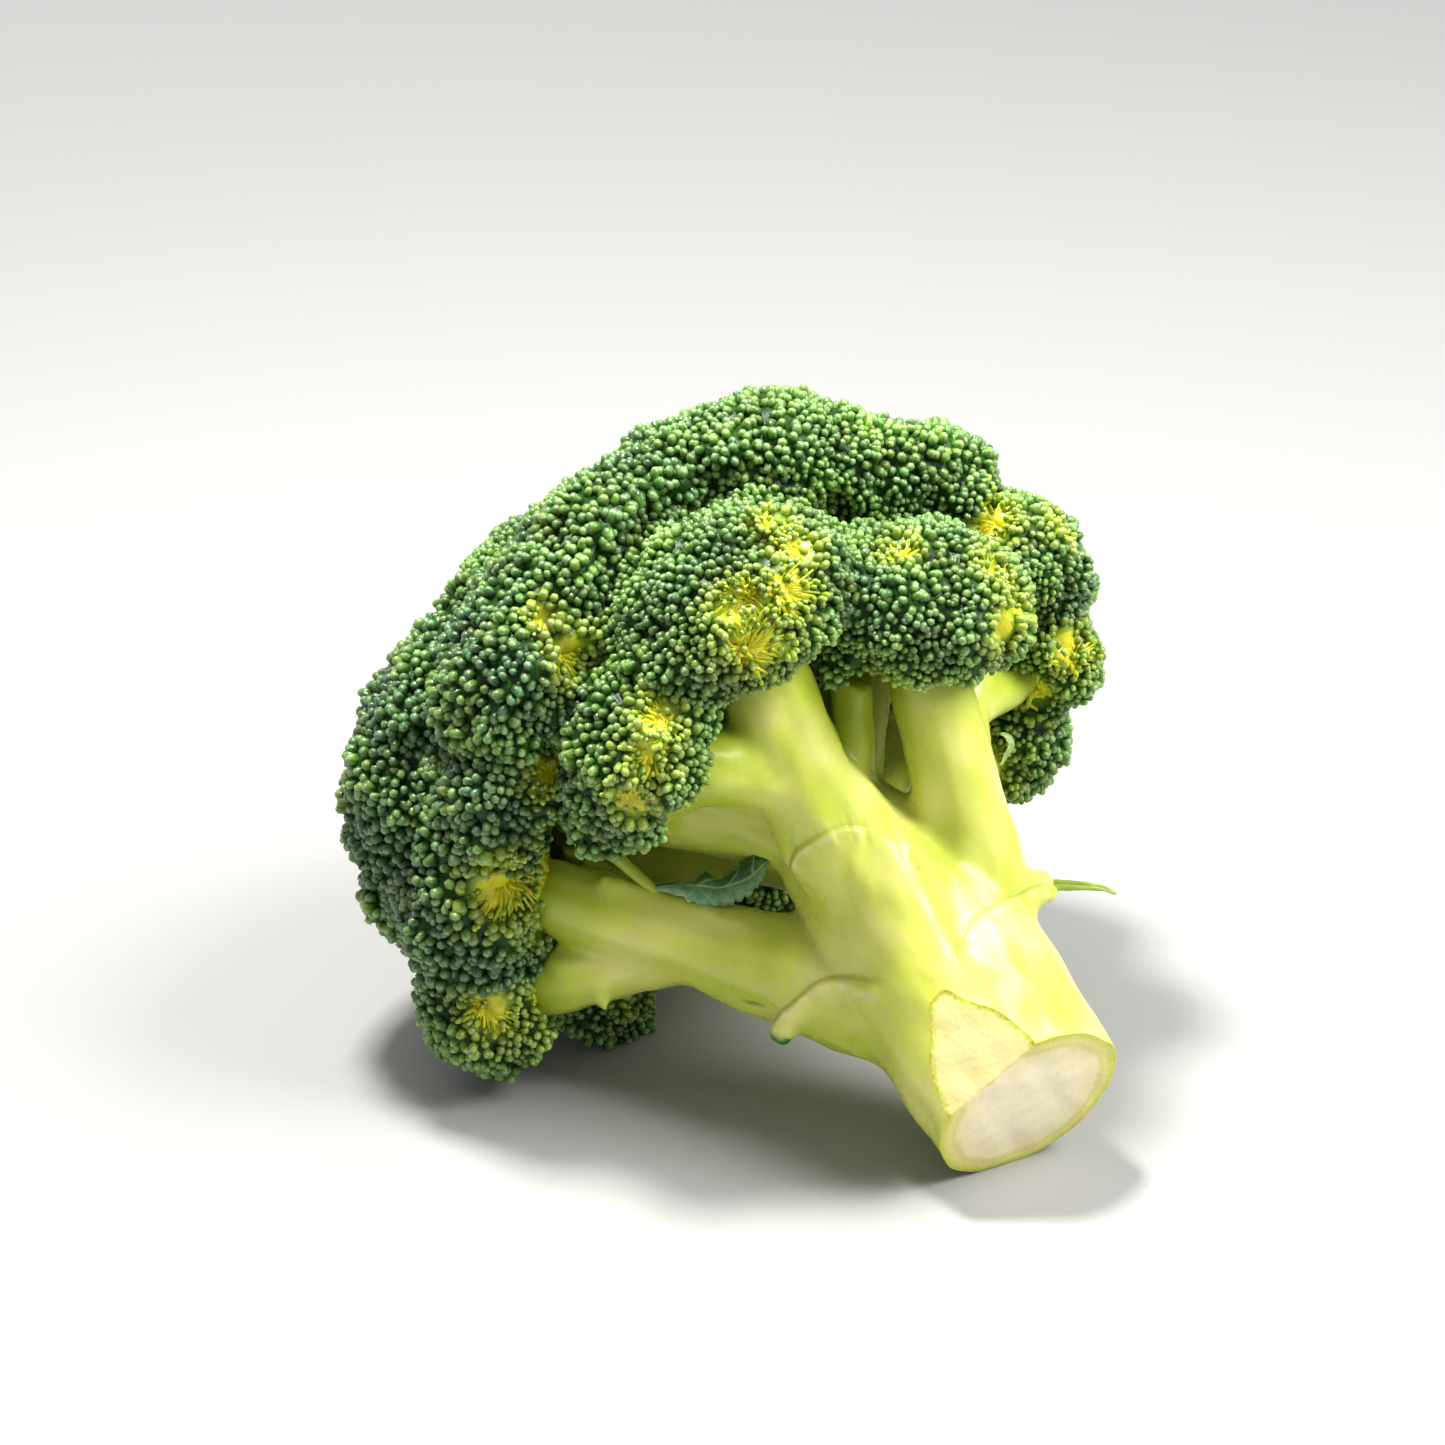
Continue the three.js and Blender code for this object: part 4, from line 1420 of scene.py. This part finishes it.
def leaf_blade():
    """Young leaf: dark green above, grey-green and waxy below, with pale edges and veins."""
    material, tree = new_material("waxy_leaf")
    across, under, along, pale = painted(tree, "blade")
    place = put(tree, "TexCoord").outputs["Object"]
    fine = put(tree, "TexNoise", {"Vector": place, "Scale": 1 / (1.2 * MM), "Detail": 4.0})
    upper = put(tree, "ValToRGB", {0: fine.outputs[0]}, stops=[(0.35, "#1d4a1c"), (0.65, "#376a2b")])
    lower = put(tree, "ValToRGB", {0: fine.outputs[0]}, stops=[(0.35, "#5f9068"), (0.65, "#86ae83")])
    coat = blend_colours(tree, under, upper.outputs[0], lower.outputs[0])
    tilted = put(tree, "Math", {0: along, 1: 26.0}, operation="MULTIPLY")
    slanted = put(tree, "Math", {0: across, 1: -5.0}, operation="MULTIPLY")
    veins = put(tree, "Math", {0: tilted.outputs[0], 1: slanted.outputs[0]}, operation="ADD")
    wave = put(tree, "Math", {0: veins.outputs[0]}, operation="SINE")
    vein = put(tree, "MapRange", {0: wave.outputs[0], 1: 0.88, 2: 1.0, 3: 0.0, 4: 0.45})
    coat = blend_colours(tree, vein.outputs[0], coat, "#a6c586")
    middle = put(tree, "MapRange", {0: across, 1: 0.03, 2: 0.12, 3: 0.8, 4: 0.0})
    coat = blend_colours(tree, middle.outputs[0], coat, "#b7cf83")
    edge = put(tree, "MapRange", {0: across, 1: 0.9, 2: 1.0, 3: 0.0, 4: 0.85})
    coat = blend_colours(tree, edge.outputs[0], coat, "#c3d586")
    coat = blend_colours(tree, pale, coat, "#a9bb35")
    bumps = put(tree, "Bump", {"Height": wave.outputs[0], "Strength": 0.3, "Distance": 0.1 * MM})
    looks = {
        "Base Color": coat,
        "Roughness": 0.42,
        "Normal": bumps.outputs[0],
        "Subsurface Weight": 0.1,
        "Subsurface Radius": (0.6, 1.0, 0.3),
        "Subsurface Scale": 0.6 * MM,
    }
    shader = put(tree, "BsdfPrincipled", looks)
    finish_material(tree, shader)
    return material


leaf_material = leaf_blade()
for node, shape in LEAVES.items():
    piece = leaf(node, **shape)
    if node == "leaf_left":
        stem = leaf_stem(node, LEAF_STEM, (1.5, 0.8))
        bpy.ops.object.select_all(action="DESELECT")
        stem.select_set(True)
        piece.select_set(True)
        bpy.context.view_layer.objects.active = piece
        bpy.ops.object.join()
    piece.data.materials.append(leaf_material)
    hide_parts(node)
    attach(piece, "root")

# ---- surface, light and camera ------------------------------------------------------------
low, high = (np.array(corner) for corner in cad_box)
middle = (low + high) / 2


def studio_floor():
    bpy.ops.object.select_all(action="DESELECT")
    bpy.ops.mesh.primitive_plane_add(size=8, location=(0, 0, 0))
    floor = bpy.context.object
    floor.name = "floor"
    material, tree = new_material("matt_white_board")
    looks = {"Base Color": "#aaaaa9", "Roughness": 0.6, "Specular IOR Level": 0.2}
    shader = put(tree, "BsdfPrincipled", looks)
    finish_material(tree, shader)
    floor.data.materials.append(material)


def lamp(name, place, aim, size, power, colour="#ffffff", spread=180):
    light = bpy.data.lights.new(name, "AREA")
    light.size = size
    light.spread = math.radians(spread)
    light.energy = power
    light.color = linear(colour)[:3]
    obj = link(name, light)
    obj.location = place
    obj.rotation_euler = (Vector(aim) - Vector(place)).to_track_quat("-Z", "Y").to_euler()


VIEW_AZIMUTH, VIEW_ELEVATION = math.radians(-34), math.radians(25)
VIEW_DISTANCE = 0.790
LENS, SENSOR = 100, 36
AIM = middle + np.array((-2.2, 13.43, -1.2)) * MM  # what the camera looks at


def set_camera():
    camera = bpy.data.cameras.new("camera")
    camera.lens = LENS
    camera.sensor_width = SENSOR
    obj = link("camera", camera)
    flat = math.cos(VIEW_ELEVATION)
    back = Vector((math.sin(VIEW_AZIMUTH) * flat, -math.cos(VIEW_AZIMUTH) * flat, math.sin(VIEW_ELEVATION)))
    obj.location = Vector(AIM) + back * VIEW_DISTANCE
    obj.rotation_euler = (-back).to_track_quat("-Z", "Y").to_euler()
    bpy.context.scene.camera = obj


studio_floor()
lamp("overhead", (-0.08, 0.12, 0.75), (0, 0, 0.05), 0.12, 9.0, "#fffdf8")
lamp("front_softbox", (0.7, -0.72, 1.12), (0, 0, 0.05), 0.8, 30)
lamp("back_softbox", (0, 2.2, 1.6), (0, 2.2, 0), 2.6, 31, spread=100)
world = bpy.data.worlds.new("studio")
bpy.context.scene.world = world
world.use_nodes = True
world.node_tree.nodes["Background"].inputs[0].default_value = linear("#f6f6f6")
world.node_tree.nodes["Background"].inputs[1].default_value = 0.42
bpy.context.scene.view_settings.view_transform = "Standard"
set_camera()
